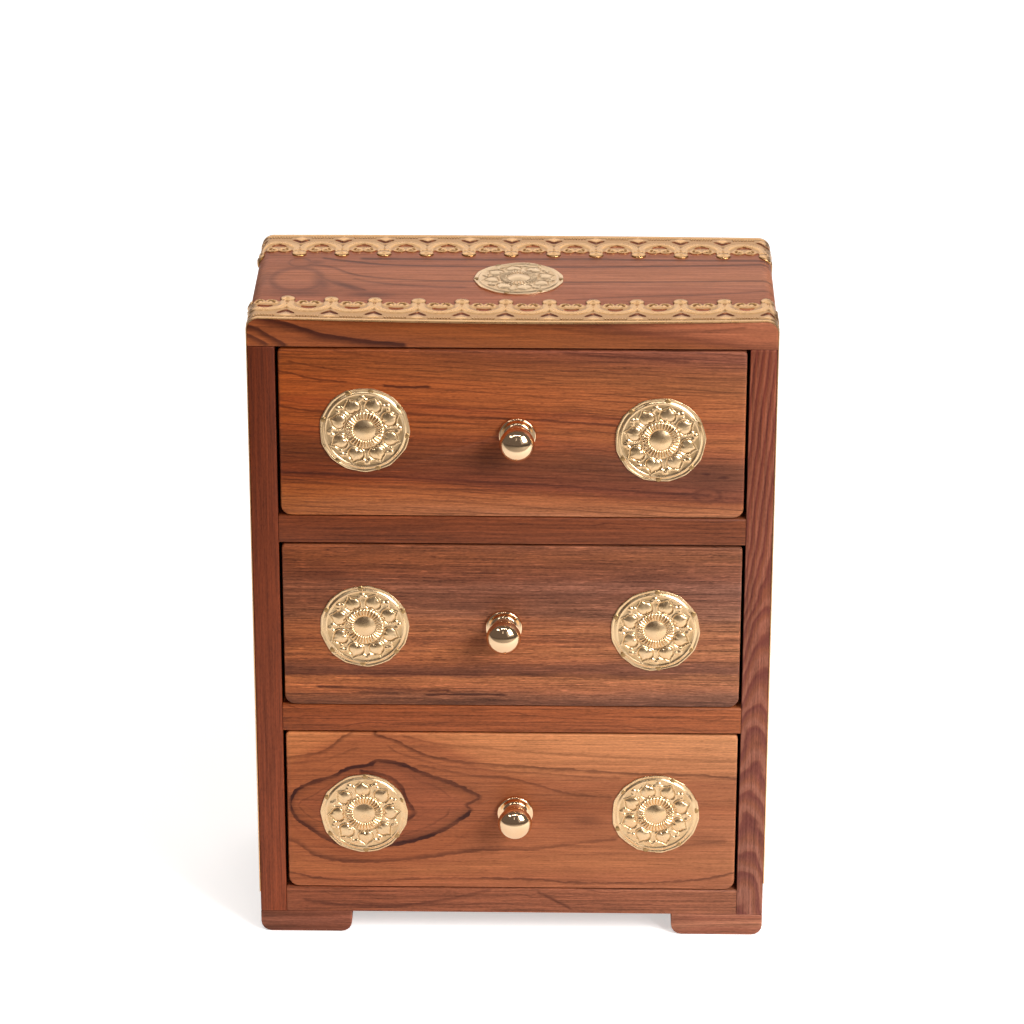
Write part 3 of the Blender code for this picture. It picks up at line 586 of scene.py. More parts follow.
# The third colour browns the recesses: partly patina, partly painted shade.
edging_brass = pressed_brass("pressed_brass_edging", "#e7ac70", "#f8cc96", "#94601f", 0.28, 0.25)
top_low, top_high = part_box("top_board")
side_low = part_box("left_side")[0]
corner_radius = 0.0045
end_margin = 0.004
under_lip = 0.004
flat_half = top_high.x - corner_radius
half_run = flat_half + corner_radius * math.pi / 2 + top_high.z - corner_radius - side_low.z - end_margin
repeat = 0.01657
repeats = int(2 * half_run / repeat)
strip_width = 24.2
half_repeat = repeat * 500
crest_row = 21.3
crest_radius = 2.85
volute_aside = 2.35
volute_radius = 2.45


def ridge(place, middle, width):
    """A bell-shaped ridge of height 1."""
    return np.exp(-((place - middle) / width) ** 2)


def slope(place, foot, brow):
    """A ramp from 0 to 1 between two places."""
    return np.clip((place - foot) / (brow - foot), 0, 1)


def round_top(share):
    """A dome of height 1 over the places where the share is below 1."""
    return np.sqrt(np.maximum(0.0, 1 - share ** 2))


def inside_edging(u, t):
    """How far inside the brass a point of one repeat lies, in millimetres: u along it, t in from the lip."""
    w = half_repeat - np.abs(u)
    crest = crest_radius - np.hypot(u, t - crest_row)
    neck = np.minimum(2.6 - np.abs(u), crest_row - t)
    aside = np.abs(w - volute_aside)
    volute = 17.3 + np.sqrt(np.maximum(volute_radius ** 2 - aside ** 2, 0.0)) - 6.0 * (aside >= volute_radius)
    carved = np.maximum.reduce([crest, neck, volute - t, 18.0 - t])
    under = np.maximum(5.8, 7.6 - 0.80 * np.abs(u))
    chevron = np.maximum(under - t, 0.68 * (t - 10.3 + 1.02 * np.abs(u)))
    bowl = np.minimum(np.abs(w) / 3.6, 1.0)
    lens_low = 11.3 + 2.9 * bowl ** 2
    lens_high = 14.3 - 0.35 * np.abs(np.cos(math.pi * w / 4.7))
    eye = np.maximum(lens_low - t, np.maximum(t - lens_high, 0.6 * (w - 3.6)))
    return np.minimum(np.minimum(carved, chevron), eye)


def edging_relief(u, t):
    """The height of the pressed sheet over the wood, in millimetres."""
    w = half_repeat - np.abs(u)
    h = 0.28 + 0.0 * u
    h += np.where(t < 2.1, 0.14, 0.0) - 0.20 * np.maximum(0.0, 1 - t / 0.5) ** 2
    h -= 0.16 * ridge(t, 2.5, 0.35)
    h -= 0.07 * (w < 4.6) * np.exp(-((t - 3.8) / 0.8) ** 4)
    boss = np.abs(u) / 2.4 + np.abs(t - 4.4) / 2.4
    h += 0.30 * np.sqrt(np.maximum(0.0, 1 - boss))
    bowl = np.hypot(w / 7.5, np.maximum(17.0 - t, 0.0) / 7.4)
    band = (bowl - 1.0) * 7.45
    sweep = slope(t, 20.0, 19.0) * slope(t, 6.0, 7.0)
    h += sweep * 0.42 * round_top(band / 1.65)
    h -= sweep * 0.24 * ridge(band, 0.30, 0.28)
    h -= 0.12 * ridge(u, 0.0, 0.50) * slope(t, 10.5, 11.5) * slope(t, 18.6, 17.8)
    aside = u - np.sign(u) * (half_repeat - volute_aside)
    curl = np.hypot(aside, t - 17.2)
    h += 0.36 * ridge(curl, 1.95, 0.34) * (t > 14.4)
    h -= 0.24 * slope(curl, 1.55, 1.35)
    dome = np.hypot((aside - np.sign(u) * 0.40) / 0.95, (t - 16.8) / 1.20)
    h += 0.66 * round_top(dome)
    crest = np.hypot(u, t - crest_row) / crest_radius
    h = np.where(crest < 1.0, 0.26 + 0.72 * round_top(crest), h)
    h -= 0.14 * ridge(crest, 0.64, 0.10) + 0.18 * ridge(crest, 1.04, 0.08)
    return np.maximum(h, 0.08)


def edging_repeat():
    """One repeat of the edging as a flat mesh: x along, y in from the lip, z up from the wood."""
    columns, rows = 42, 58
    along = np.linspace(-half_repeat, half_repeat, columns + 1)
    u, t = np.meshgrid(along, np.linspace(0.0, strip_width + 0.2, rows + 1))
    inside = inside_edging(u, t)
    kept = np.maximum.reduce([inside[:-1, :-1], inside[1:, :-1], inside[:-1, 1:], inside[1:, 1:]]) > 0.0
    step = 0.01
    for _ in range(4):
        value = inside_edging(u, t)
        over = np.minimum(value, 0.0)
        slope_u = (inside_edging(u + step, t) - value) / step
        slope_t = (inside_edging(u, t + step) - value) / step
        steep = np.maximum(slope_u ** 2 + slope_t ** 2, 0.3)
        ends = np.abs(np.abs(u) - half_repeat) < 1e-6
        u = np.where(ends, u, u - over * slope_u / steep)
        t = t - over * slope_t / steep
    h = edging_relief(u, t)
    # The low places of the sheet, kept in the recess layer: the material browns them, partly as patina and
    # partly as painted shade.
    recess = slope(h, 0.38, 0.14) * (t > 2.2)
    bm = bmesh.new()
    tarnished = bm.verts.layers.float.new("recess")
    points = {}
    for row, column in zip(*np.nonzero(kept)):
        corners = []
        for r, q in ((row, column), (row, column + 1), (row + 1, column + 1), (row + 1, column)):
            if (r, q) not in points:
                points[r, q] = bm.verts.new((u[r, q] / 1000, t[r, q] / 1000, h[r, q] / 1000))
                points[r, q][tarnished] = recess[r, q]
            corners.append(points[r, q])
        bm.faces.new(corners)
    rims = [edge for edge in bm.edges if len(edge.link_faces) == 1]
    rims = [edge for edge in rims if any(abs(abs(v.co.x) - half_repeat / 1000) > 1e-6 for v in edge.verts)]
    walls = bmesh.ops.extrude_edge_only(bm, edges=rims)
    for part in walls["geom"]:
        if isinstance(part, bmesh.types.BMVert):
            part.co.z = 0.0
    lip = [part for part in walls["geom"] if isinstance(part, bmesh.types.BMEdge)]
    lip = [edge for edge in lip if all(v.co.y < 1e-6 and v.co.z == 0.0 for v in edge.verts)]
    for part in bmesh.ops.extrude_edge_only(bm, edges=lip)["geom"]:
        if isinstance(part, bmesh.types.BMVert):
            part.co.y = under_lip
    bmesh.ops.recalc_face_normals(bm, faces=bm.faces)
    return meshed(bm, "edging_repeat")


def node_group(name, inputs, output):
    """A new Geometry Nodes tree with its sockets, and what comes in through them."""
    tree = bpy.data.node_groups.new(name, "GeometryNodeTree")
    for socket, kind in inputs.items():
        tree.interface.new_socket(name=socket, in_out="INPUT", socket_type="NodeSocket" + kind)
    tree.interface.new_socket(name=output, in_out="OUTPUT", socket_type="NodeSocketGeometry")
    return tree, add(tree, "NodeGroupInput").node.outputs


def lay_tree():
    """Repeats a flat piece along the edging's run and bends it over the rounded ends of the top."""
    lengths = ("Pitch", "First", "Half Flat", "Corner Radius", "Top", "Edge", "Turn", "Bow")
    tree, given = node_group("lay_along_edging", {
        "Repeat": "Geometry", "Count": "Int", **dict.fromkeys(lengths, "Float"), "Finish": "Material",
    }, "Edging")
    start = add(tree, "CombineXYZ", [given["First"]])
    pace = add(tree, "CombineXYZ", [given["Pitch"]])
    row = add(
        tree, "GeometryNodeMeshLine", {"Count": given["Count"], "Start Location": start, "Offset": pace},
    )
    laid = add(tree, "GeometryNodeInstanceOnPoints", {"Points": row, "Instance": given["Repeat"]})
    laid = add(tree, "GeometryNodeRealizeInstances", [laid])
    laid = add(tree, "GeometryNodeMergeByDistance", {"Geometry": laid, "Distance": 0.00002})
    flat = add(tree, "GeometryNodeInputPosition")
    spot = add(tree, "SeparateXYZ", [flat]).node.outputs
    far = add(tree, "Math", [spot["X"]], "ABSOLUTE")
    side = add(tree, "Math", [spot["X"]], "SIGN")
    side = add(tree, "Math", [side, given["Turn"]], "MULTIPLY")
    level = add(tree, "Math", [far, given["Half Flat"]], "MINIMUM")
    beyond = add(tree, "Math", [far, level], "SUBTRACT")
    angle = add(tree, "Math", [beyond, given["Corner Radius"]], "DIVIDE")
    angle = add(tree, "Math", [angle, math.pi / 2], "MINIMUM")
    arc = add(tree, "Math", [angle, given["Corner Radius"]], "MULTIPLY")
    drop = add(tree, "Math", [beyond, arc], "SUBTRACT")
    share = add(tree, "Math", [level, given["Half Flat"]], "DIVIDE")
    share = add(tree, "Math", [share, share], "MULTIPLY")
    share = add(tree, "Math", [1.0, share], "SUBTRACT")
    inward = add(tree, "Math", [share, given["Bow"]], "MULTIPLY")
    inward = add(tree, "Math", [spot["Y"], inward], "SUBTRACT")
    over = add(tree, "Math", [inward, 0.0], "MINIMUM")
    over = add(tree, "Math", [over, over], "MULTIPLY")
    lifted = add(tree, "Math", [over, -45.0, spot["Z"]], "MULTIPLY_ADD")
    reach = add(tree, "Math", [given["Corner Radius"], lifted], "ADD")
    sine = add(tree, "Math", [angle], "SINE")
    cosine = add(tree, "Math", [angle], "COSINE")
    x = add(tree, "Math", [reach, sine, level], "MULTIPLY_ADD")
    x = add(tree, "Math", [x, side], "MULTIPLY")
    y = add(tree, "Math", [inward, given["Turn"], given["Edge"]], "MULTIPLY_ADD")
    centre = add(tree, "Math", [given["Top"], given["Corner Radius"]], "SUBTRACT")
    z = add(tree, "Math", [reach, cosine, centre], "MULTIPLY_ADD")
    z = add(tree, "Math", [z, drop], "SUBTRACT")
    bent = add(tree, "CombineXYZ", [x, y, z])
    laid = add(tree, "GeometryNodeSetPosition", {"Geometry": laid, "Position": bent})
    laid = add(tree, "GeometryNodeSetMaterial", {"Geometry": laid, "Material": given["Finish"]})
    add(tree, "NodeGroupOutput", [laid])
    return tree


def made_by(tree, name, base, values):
    """Runs a Geometry Nodes tree on a base mesh and keeps the result as a plain mesh object."""
    piece = placed(name, base.copy())
    modifier = piece.modifiers.new(name, "NODES")
    modifier.node_group = tree
    for socket in tree.interface.items_tree:
        if socket.in_out == "INPUT" and socket.name in values:
            modifier[socket.identifier] = values[socket.name]
    ready = piece.evaluated_get(bpy.context.evaluated_depsgraph_get())
    mesh = bpy.data.meshes.new_from_object(ready)
    piece.modifiers.clear()
    piece.data = mesh
    smoothed(mesh, 55)
    return piece


def pin_head(radius, height):
    """The low domed head of a brass pin, standing on z = 0."""
    bm = bmesh.new()
    bmesh.ops.create_uvsphere(bm, u_segments=8, v_segments=4, radius=1.0)
    whole = bm.verts[:] + bm.edges[:] + bm.faces[:]
    bmesh.ops.bisect_plane(bm, geom=whole, plane_co=(0, 0, 0), plane_no=(0, 0, -1), clear_outer=True)
    bmesh.ops.scale(bm, vec=(radius, radius, height), verts=bm.verts)
    return meshed(bm, "pin_head")


laying = lay_tree()
one_repeat = edging_repeat()
crest_pin = pin_head(0.0010, 0.0003)
crest_pin.transform(Matrix.Translation((0, crest_row / 1000, 0.00086)))
bm = bmesh.new()
for aside in (0.54, 1.62, 2.70, 3.78):
    for side in (-1, 1):
        bead = pin_head(0.00050, 0.00036)
        bead.transform(Matrix.Diagonal((1.0, 1.6, 1.0, 1.0)))
        bead.transform(Matrix.Translation((side * (half_repeat - aside) / 1000, 0.0038, 0.00019)))
        bm.from_mesh(bead)
bead_row = meshed(bm, "bead_row")
for name, edge, turn, shift, bow in (
    ("front_edging", top_low.y, 1.0, -0.0027, 0.0027), ("rear_edging", top_high.y, -1.0, 0.0015, 0.0010),
):
    run = {
        "Count": repeats, "Pitch": repeat, "First": shift - repeat * (repeats // 2), "Half Flat": flat_half,
        "Corner Radius": corner_radius, "Top": top_high.z, "Edge": edge, "Turn": turn, "Bow": bow,
        "Finish": edging_brass,
    }
    strip = made_by(laying, name + "_brass", one_repeat, run)
    pins = made_by(laying, name + "_pins", crest_pin, run)
    beads = made_by(laying, name + "_beads", bead_row, run)
    for piece in (strip, pins, beads):
        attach(piece, "carcass")
    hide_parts(name)


# The drawer boxes: thin planed sides, back and bottom in plain pale wood, lapped, grooved and glued.
# They are never oiled, so they stay lighter and duller than the fronts.
for level, seed in (("upper", 12.0), ("middle", 13.0), ("lower", 14.0)):
    for part, along, across in (
        ("left_side", "Y", "Z"), ("right_side", "Y", "Z"), ("back", "X", "Z"), ("bottom", "X", "Y"),
    ):
        node = f"{level}_drawer_{part}"
        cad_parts[node].material_slots[0].material = teak(
            "planed_" + node, node, along, across,
            [(-60, "#b08a62"), (-20, "#a47c55"), (0, "#b48e68"), (20, "#a88059"), (60, "#ae8660")],
            seed=seed, warp=(9.0, 2.0, 0.4), lines=(5.0, 0.30), fibre=0.26, wear=0.2,
        )


# The drawer fronts: three thick teak boards from different planks, so each has its own colour and figure.
# They are planed, rounded at the lower corners and oiled, and fit with a shadow gap all round.
def upper_front_rings(tree, a, c, d):
    """Thin wavy rings that fall a little to the right."""
    rings = add(tree, "Math", [a, 0.062, c], "MULTIPLY_ADD")
    return add(tree, "Math", [d, 0.3, rings], "MULTIPLY_ADD")


def middle_front_rings(tree, a, c, d):
    """Straight rings, a little tilted in the thickness."""
    return add(tree, "Math", [d, 0.3, c], "MULTIPLY_ADD")


def lower_front_rings(tree, a, c, d):
    """Rings that close in a pointed eye at the left and flow round it above and below."""
    def hill(place, width):
        """A round hill that is 1 at 0 and falls off over a width."""
        share = add(tree, "Math", [place, width], "DIVIDE")
        square = add(tree, "Math", [share, share], "MULTIPLY")
        fall = add(tree, "Math", [square, -1.0], "MULTIPLY")
        return add(tree, "Math", [fall], "EXPONENT")

    from_eye = add(tree, "Math", [a, 50.0], "ADD")
    valley = add(tree, "Math", [1.0, hill(from_eye, 28.3)], "SUBTRACT")
    up = add(tree, "Math", [c, -3.0], "ADD")
    side = add(tree, "Math", [up], "SIGN")
    reach = add(tree, "Math", [up], "ABSOLUTE")
    span = add(tree, "MapRange", [up, -1.0, 1.0, 20.0, 30.0])
    bend = add(tree, "Math", [valley, hill(reach, span)], "MULTIPLY")
    rings = add(tree, "Math", [bend, 22.0, reach], "MULTIPLY_ADD")
    return add(tree, "Math", [rings, side], "MULTIPLY")


eye_above = [
    (-87.7, 3.4), (-86.4, 6.1), (-84.5, 9), (-77.8, 12.5), (-69.7, 15.3), (-65, 18.3), (-55.2, 20.6),
    (-52.3, 22.1), (-45.4, 21.2), (-33.9, 16.3), (-23.5, 12.5), (-14.3, 7.7), (-12, 6.4),
]
eye_below = [
    (-87.7, 3.1), (-86.6, -0.9), (-84.5, -4.3), (-79.9, -7.9), (-72.5, -13.1), (-65.5, -15.5),
    (-57.4, -16.3), (-46.3, -15.1), (-35.2, -12.1), (-30, -10), (-24.2, -6.7), (-20.1, -3.4), (-16.6, -0.9),
    (-15.6, 0.7),
]
upper_stops = [
    (-44, "#a86b4b"), (-34, "#a86b4b"), (-31, "#ab6843"), (-28, "#a8633d"), (-25, "#94502f"),
    (-23, "#7f412a"), (-20, "#7a402a"), (-14, "#74402a"), (-9, "#7e462d"), (-5, "#955031"), (0, "#a35b34"),
    (5, "#9f5632"), (8, "#974f2f"), (10, "#a45b34"), (17, "#a35a33"), (22, "#925330"), (28, "#8f5030"),
    (34, "#7d4430"), (44, "#8a4e33"),
]
upper_lines = [
    (0.55, 0.4, 0.7, [(-68, 33.7), (-57.6, 32.2), (-48.8, 31.1), (-42, 30.9)]),
    (0.60, 0.3, 0.4, [(-85, 29.3), (-77.7, 27.9), (-69, 26.4), (-62, 25.7)]),
    (0.65, 0.3, 0.4, [(-92, 26), (-82.5, 24.1), (-75, 22.2), (-62, 20.9)]),
    (0.85, 0.25, 0.25, [(-49, 19.6), (-40.6, 19.1), (-31, 19.1)]),
    (0.40, 0.3, 0.5, [(-92, 14.4), (-78, 12.1), (-68, 11.9)]),
    (0.68, 0.35, 0.55, [
        (-92, 11.8), (-81, 9.8), (-76, 9.1), (-54, 8.7), (-39, 8.2), (-25, 7.3), (-3, 6.6), (20, 5.4),
        (40, 3.9),
    ]),
    (0.55, 0.3, 0.4, [(-92, 7.6), (-81, 6.8), (-70, 7.1)]),
    (0.40, 0.3, 0.5, [(-42, 12.3), (-25, 11.5), (5, 11.3), (20, 10.8), (40, 8.9)]),
    (0.60, 0.3, 0.4, [(-40, 5), (-19, 4.4), (-4, 3.6)]),
    (0.66, 0.35, 0.7, [
        (-92, -15.7), (-78, -16.6), (-55, -17.5), (-21, -19.2), (20, -21.1), (58, -23.8), (76, -24.5),
    ]),
    (0.50, 0.4, 0.8, [
        (-92, -18.2), (-67, -21.1), (-43, -22.5), (-10, -23), (30, -25.2), (64, -26.8), (92, -27.4),
    ]),
    (0.60, 0.4, 1.0, [(19, 33.5), (32, 32.3), (50, 31.4), (60, 30.5), (67, 30.1)]),
    (0.35, 0.4, 0.6, [(46, 19.4), (63, 18.1), (92, 17)]),
    (0.40, 0.3, 0.6, [(72, 11), (81, 11.2), (92, 12.3)]),
    (0.45, 0.3, 0.6, [(72, 5.2), (82, 5.3), (92, 6.3)]),
]
upper_smudges = [
    (0.46, 76, -16, 20, 9, 0.0), (0.90, 74, -15.8, 4.6, 1.4, 0.0), (0.90, 81, -16.8, 5.0, 1.5, 0.0),
    (0.44, 74.8, -24.5, 4.8, 2.8, 0.0, 0.45), (0.30, 5, 30, 60, 4, 0.0),
]
middle_stops = [
    (-40, "#5a3022"), (-34, "#6f4230"), (-31, "#89533c"), (-28, "#a35f3f"), (-25, "#ad6743"),
    (-23, "#a96541"), (-21.4, "#7d4833"), (-18.6, "#7b4733"), (-16, "#9c5a3b"), (-12, "#a5623f"),
    (-8, "#935437"), (-4, "#a05f3e"), (0, "#96593c"), (4, "#8a553f"), (10, "#7d4a37"), (16, "#885340"),
    (20, "#7c4632"), (28, "#82492f"), (36, "#7f4934"),
]
middle_lines = [
    (0.35, 0.5, 1.0, [(-92, 26.4), (-30, 25.2), (40, 26.3), (92, 25.4)]),
    (0.40, 0.5, 1.0, [(-92, 15), (-20, 13.8), (92, 14.6)]),
    (0.40, 0.4, 0.9, [(-92, 6.6), (0, 5.4), (92, 6.2)]),
    (0.35, 0.4, 0.8, [(-92, -5), (10, -6), (92, -5.2)]),
    (0.85, 0.2, 0.25, [(-76, -26.3), (-50, -27.2), (-24, -27.6)]),
    (0.80, 0.2, 0.2, [(-34, -29.6), (-18, -29.2), (-2, -29.4)]),
    (0.75, 0.2, 0.2, [(-60, -28.6), (-44, -29.0)]),
    (0.60, 2.2, 0.35, [(-92, -21.2), (-30, -20.6), (40, -21.6), (92, -22.4)]),
]
middle_smudges = [
    (0.40, -72, 22, 18, 5, 0.6), (0.42, -24, 9, 30, 3.2, 1.5), (0.36, 60, 20, 26, 5, -1.5),
    (0.40, -86, -6, 6, 8, 0.4), (0.34, 30, 27, 24, 4, 0.8),
]
lower_stops = [
    (-46, "#b06a48"), (-38, "#b06a48"), (-34, "#ae6745"), (-30, "#b26d47"), (-27, "#ae6845"),
    (-23.5, "#a05c3b"), (-19, "#a05d3c"), (-16, "#9a583b"), (0, "#99563a"), (16, "#9a583b"),
    (19, "#a05d3c"), (26, "#a4613f"), (29.6, "#a3603f"), (32.4, "#bd774e"), (37, "#c78256"),
    (44, "#c17a50"), (50, "#cf8c5e"), (60, "#c9825a"),
]
lower_lines = [
    (1.00, 0.35, 1.2, eye_above),
    (1.00, 1.2, 0.35, eye_below),
    (0.52, 0.4, 5.0, eye_above),
    (0.52, 4.4, 0.4, eye_below),
    (0.80, 0.6, 0.4, [(-18.4, 2.6), (-14.8, 4.7), (-12, 6.3)]),
    (0.80, 0.5, 0.5, [(-18.4, 2.8), (-15.6, 0.8)]),
    (0.40, 0.4, 0.6, [(-84.4, 2), (-82.9, 3.8), (-78.5, 6.5), (-72.1, 11.1), (-68, 14.9)]),
    (0.40, 0.6, 0.4, [(-84.4, 1.7), (-81.5, -1.4), (-78.1, -4), (-73, -6.5)]),
    (0.42, 0.4, 0.6, [(-46, 19.4), (-39.6, 16.2), (-35.6, 13), (-31, 11.5), (-27, 8.9), (-24.2, 6.3)]),
    (0.42, 0.6, 0.4, [(-44, -11), (-34, -7.5), (-28.8, -4.1), (-25, -1.2), (-24.2, 1.5)]),
    (0.85, 0.4, 1.8, [(-60, 17.4), (-49.5, 15.5), (-46, 13.3), (-43.2, 10.1), (-40.9, 4.2), (-37.8, -0.4)]),
    (0.80, 1.6, 0.4, [(-44, -5), (-41.6, -4.3), (-39.5, -2.8), (-37.6, -0.6)]),
    (0.62, 0.3, 1.2, [
        (-92, 22.4), (-81.7, 24.2), (-75.9, 25.3), (-72.4, 26.9), (-66.6, 32.1), (-62.5, 34.1),
    ]),
    (0.66, 0.3, 1.2, [
        (-54.4, 34.1), (-49.3, 32.3), (-44.7, 30.7), (-39.6, 27.5), (-35, 25.3), (-25.8, 22.8), (-8.5, 21),
        (17, 19.2), (49, 17.4), (75, 16.8), (92, 15.1),
    ]),
    (0.42, 0.4, 0.9, [(-92, 19.8), (-80.6, 21.4), (-74.8, 22.1), (-70.1, 23.7), (-60.3, 27.7)]),
    (0.42, 0.4, 0.9, [
        (-48.8, 28.7), (-45.9, 26.5), (-39.6, 24), (-30.4, 21.1), (-17.1, 19), (17, 16.7), (43, 14.8),
    ]),
    (0.50, 0.4, 1.1, [
        (-37.3, 20.5), (-25.8, 17.9), (-14.2, 15.8), (-2, 15), (17, 9.8), (24, 8), (40, 6.4),
    ]),
    (0.40, 0.7, 0.8, [(-43, 33), (-28.6, 29.6), (-8.5, 27.8), (23.4, 25.2), (62, 23.7), (92, 23)]),
    (0.66, 1.8, 0.6, [
        (-92, -12.6), (-86, -14.2), (-78.4, -19.7), (-73, -21.6), (-66.8, -22.6), (-58, -22.9),
        (-40.5, -21.6), (-8.5, -17), (7.6, -16.8), (22.4, -14.4), (42, -12),
    ]),
    (0.40, 2.2, 2.2, [(66, -15), (77, -13.2), (85, -12)]),
    (0.60, 0.4, 0.7, [
        (-92, -26.6), (-76.8, -30.3), (-56.4, -31.4), (-31.8, -30), (4.4, -29.9), (27.7, -31.6),
        (75.5, -29.5), (92, -25.6),
    ]),
]
lower_smudges = [
    (0.22, 24, -8, 36, 17, 0.0), (0.46, 29, -4, 14, 6.0, 0.0), (0.30, 76, -12, 15, 6, 0.0),
    (0.24, 20, 3, 26, 4, -1.0),
]
# left and right shade each front from its left end to its right, paler to the right: partly the wood's
# colour, partly painted light from the right.
fronts = {
    "upper": dict(
        figure=upper_front_rings, seed=15.0, left=(0.92, 0.68, 0.35), right=(1.00, 1.10, 1.20),
        warp=(3.0, 0.9, 0.3), lines=(2.4, 0.55), fibre=0.44, pores=0.45, flecks=0.30,
        stops=upper_stops, traced=upper_lines, smudges=upper_smudges,
    ),
    "middle": dict(
        figure=middle_front_rings, seed=16.0, left=(0.99, 0.87, 0.64), right=(1.01, 1.16, 1.24),
        warp=(7.0, 3.4, 1.0), lines=(5.0, 0.38), fibre=0.60, pores=0.60, flecks=0.70,
        stops=middle_stops, traced=middle_lines, smudges=middle_smudges,
    ),
    "lower": dict(
        figure=lower_front_rings, seed=17.0, left=(0.94, 0.81, 0.65), right=(0.91, 0.95, 0.95),
        warp=(2.5, 1.4, 0.8), lines=(7.0, 0.16), fibre=0.35, pores=0.3, ragged=1.9,
        stops=lower_stops, traced=lower_lines, smudges=lower_smudges,
    ),
}
for level, finish in fronts.items():
    node = f"{level}_drawer_front"
    front = softened(node)
    front.data.materials.append(teak("teak_" + node, node, "X", "Z", **finish))
    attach(front, f"{level}_drawer")
    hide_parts(node)


# The knobs: solid brass, turned in one piece and polished, a flattened ball on a coved neck and a flange.
# Plated screws through the drawer fronts hold them from inside.
def plain_metal(name, scale, detail, dull, bright, roughness):
    """Bare metal whose colour and roughness drift a little; roughness is how the drift maps to it."""
    material, tree, shader = new_material(name)
    place = add(tree, "TexCoord", out="Object")
    drift = add(tree, "TexNoise", {"Vector": place, "Scale": scale, "Detail": detail})
    tint = add(tree, "Mix", {0: drift, 6: linear(dull), 7: linear(bright)}, out=2, data_type="RGBA")
    rough = add(tree, "MapRange", {0: drift, **roughness})
    fill(tree, shader, {"Base Color": tint, "Roughness": rough, "Metallic": 1.0})
    return material


# Turned and handled brass is a warm, nearly clear mirror, a little cloudy in patches of 5 or 6 mm.
# The zinc plate on the screws is pale grey and satin, with spangles of about 1 mm.
knob_shine = {1: 0.35, 2: 0.7, 3: 0.06, 4: 0.13}
knob_brass = plain_metal("polished_brass", 180.0, 3.0, "#eec79b", "#f7d8b2", knob_shine)
steel = plain_metal("zinc_plated_steel", 900.0, 2.0, "#b4b6b3", "#cfd0cb", {3: 0.25, 4: 0.45})
ball = 6.7
ball_half_depth = 5.0
ball_reach = 10.0
flange = 7.15
flange_deep = 1.8
flange_ease = 0.25
lip_round = 0.7
neck = 3.9
neck_foot = 5.6
profile = [(0.0, 0.0), (flange - flange_ease, 0.0), (flange, -flange_ease)]
for step in range(9):
    angle = math.radians(90 * step / 8)
    out = flange - lip_round * (1 - math.cos(angle))
    profile.append((out, -flange_deep + lip_round * (1 - math.sin(angle))))
meeting = math.asin(neck / ball)
neck_long = ball_reach - ball_half_depth * math.cos(meeting) - flange_deep
for step in range(13):
    angle = math.radians(90 * step / 13)
    out = neck + (neck_foot - neck) * (1 - math.sin(angle))
    profile.append((out, -flange_deep - neck_long * (1 - math.cos(angle))))
for step in range(41):
    angle = meeting + (math.pi - meeting) * step / 40
    profile.append((ball * math.sin(angle), ball_half_depth * math.cos(angle) - ball_reach))
for level in fronts:
    low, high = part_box(f"{level}_knob")
    bm = bmesh.new()
    points = [bm.verts.new((out / 1000, forward / 1000, 0)) for out, forward in profile]
    edges = [bm.edges.new(pair) for pair in zip(points, points[1:])]
    bmesh.ops.spin(
        bm, geom=points + edges, cent=(0, 0, 0), axis=(0, 1, 0), angle=2 * math.pi, steps=96, use_merge=True,
    )
    bmesh.ops.remove_doubles(bm, verts=bm.verts, dist=1e-7)
    bmesh.ops.recalc_face_normals(bm, faces=bm.faces)
    bm.transform(Matrix.Translation(((low.x + high.x) / 2, high.y, (low.z + high.z) / 2)))
    mesh = meshed(bm, f"{level}_knob_brass")
    smoothed(mesh, 40)
    mesh.materials.append(knob_brass)
    knob = placed(f"{level}_knob_brass", mesh)
    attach(knob, f"{level}_drawer")
    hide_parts(f"{level}_knob")
    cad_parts[f"{level}_knob_screw"].material_slots[0].material = steel


# The medallions: rounds of thin brass pressed in a die with a dome, a fluted collar, heart-shaped petals with
# buds between them and a raised ring. They were cut out by hand with snips and pinned through the rim.
# The third colour browns the recesses: partly patina, partly painted shade.
rosette_brass = pressed_brass("pressed_brass_medallion", "#e5bb88", "#f5d8ae", "#b0864a", 0.28, 0.22)
paler_brass = pressed_brass("pressed_brass_top_medallion", "#f5cfa2", "#ffe2ba", "#d0a36c", 0.36, 0.22)
pin_brass = pressed_brass("tarnished_brass_pins", "#a5855a", "#c29d6c", "#86683c", 0.42, 0.22)
rosette_radius = 17.3
petals = 8
collar_flutes = 32
dome_share = 0.24
dome_base = 0.70
dome_rise = 1.02


def cut_outline(angle, seed):
    """The hand-cut edge, as a share of the full radius: short straight snips instead of a true circle."""
    rng = np.random.default_rng(seed)
    corners = np.cumsum(rng.uniform(0.35, 0.65, 13))
    corners = corners / corners[-1] * 2 * math.pi
    starts = np.concatenate([[0.0], corners[:-1]])
    share = np.ones_like(angle)
    for start, end in zip(starts, corners):
        middle, half = (start + end) / 2, (end - start) / 2
        chord = math.cos(half) / np.cos(angle - middle)
        share = np.where((angle >= start) & (angle < end), 0.50 + 0.50 * chord, share)
    return share


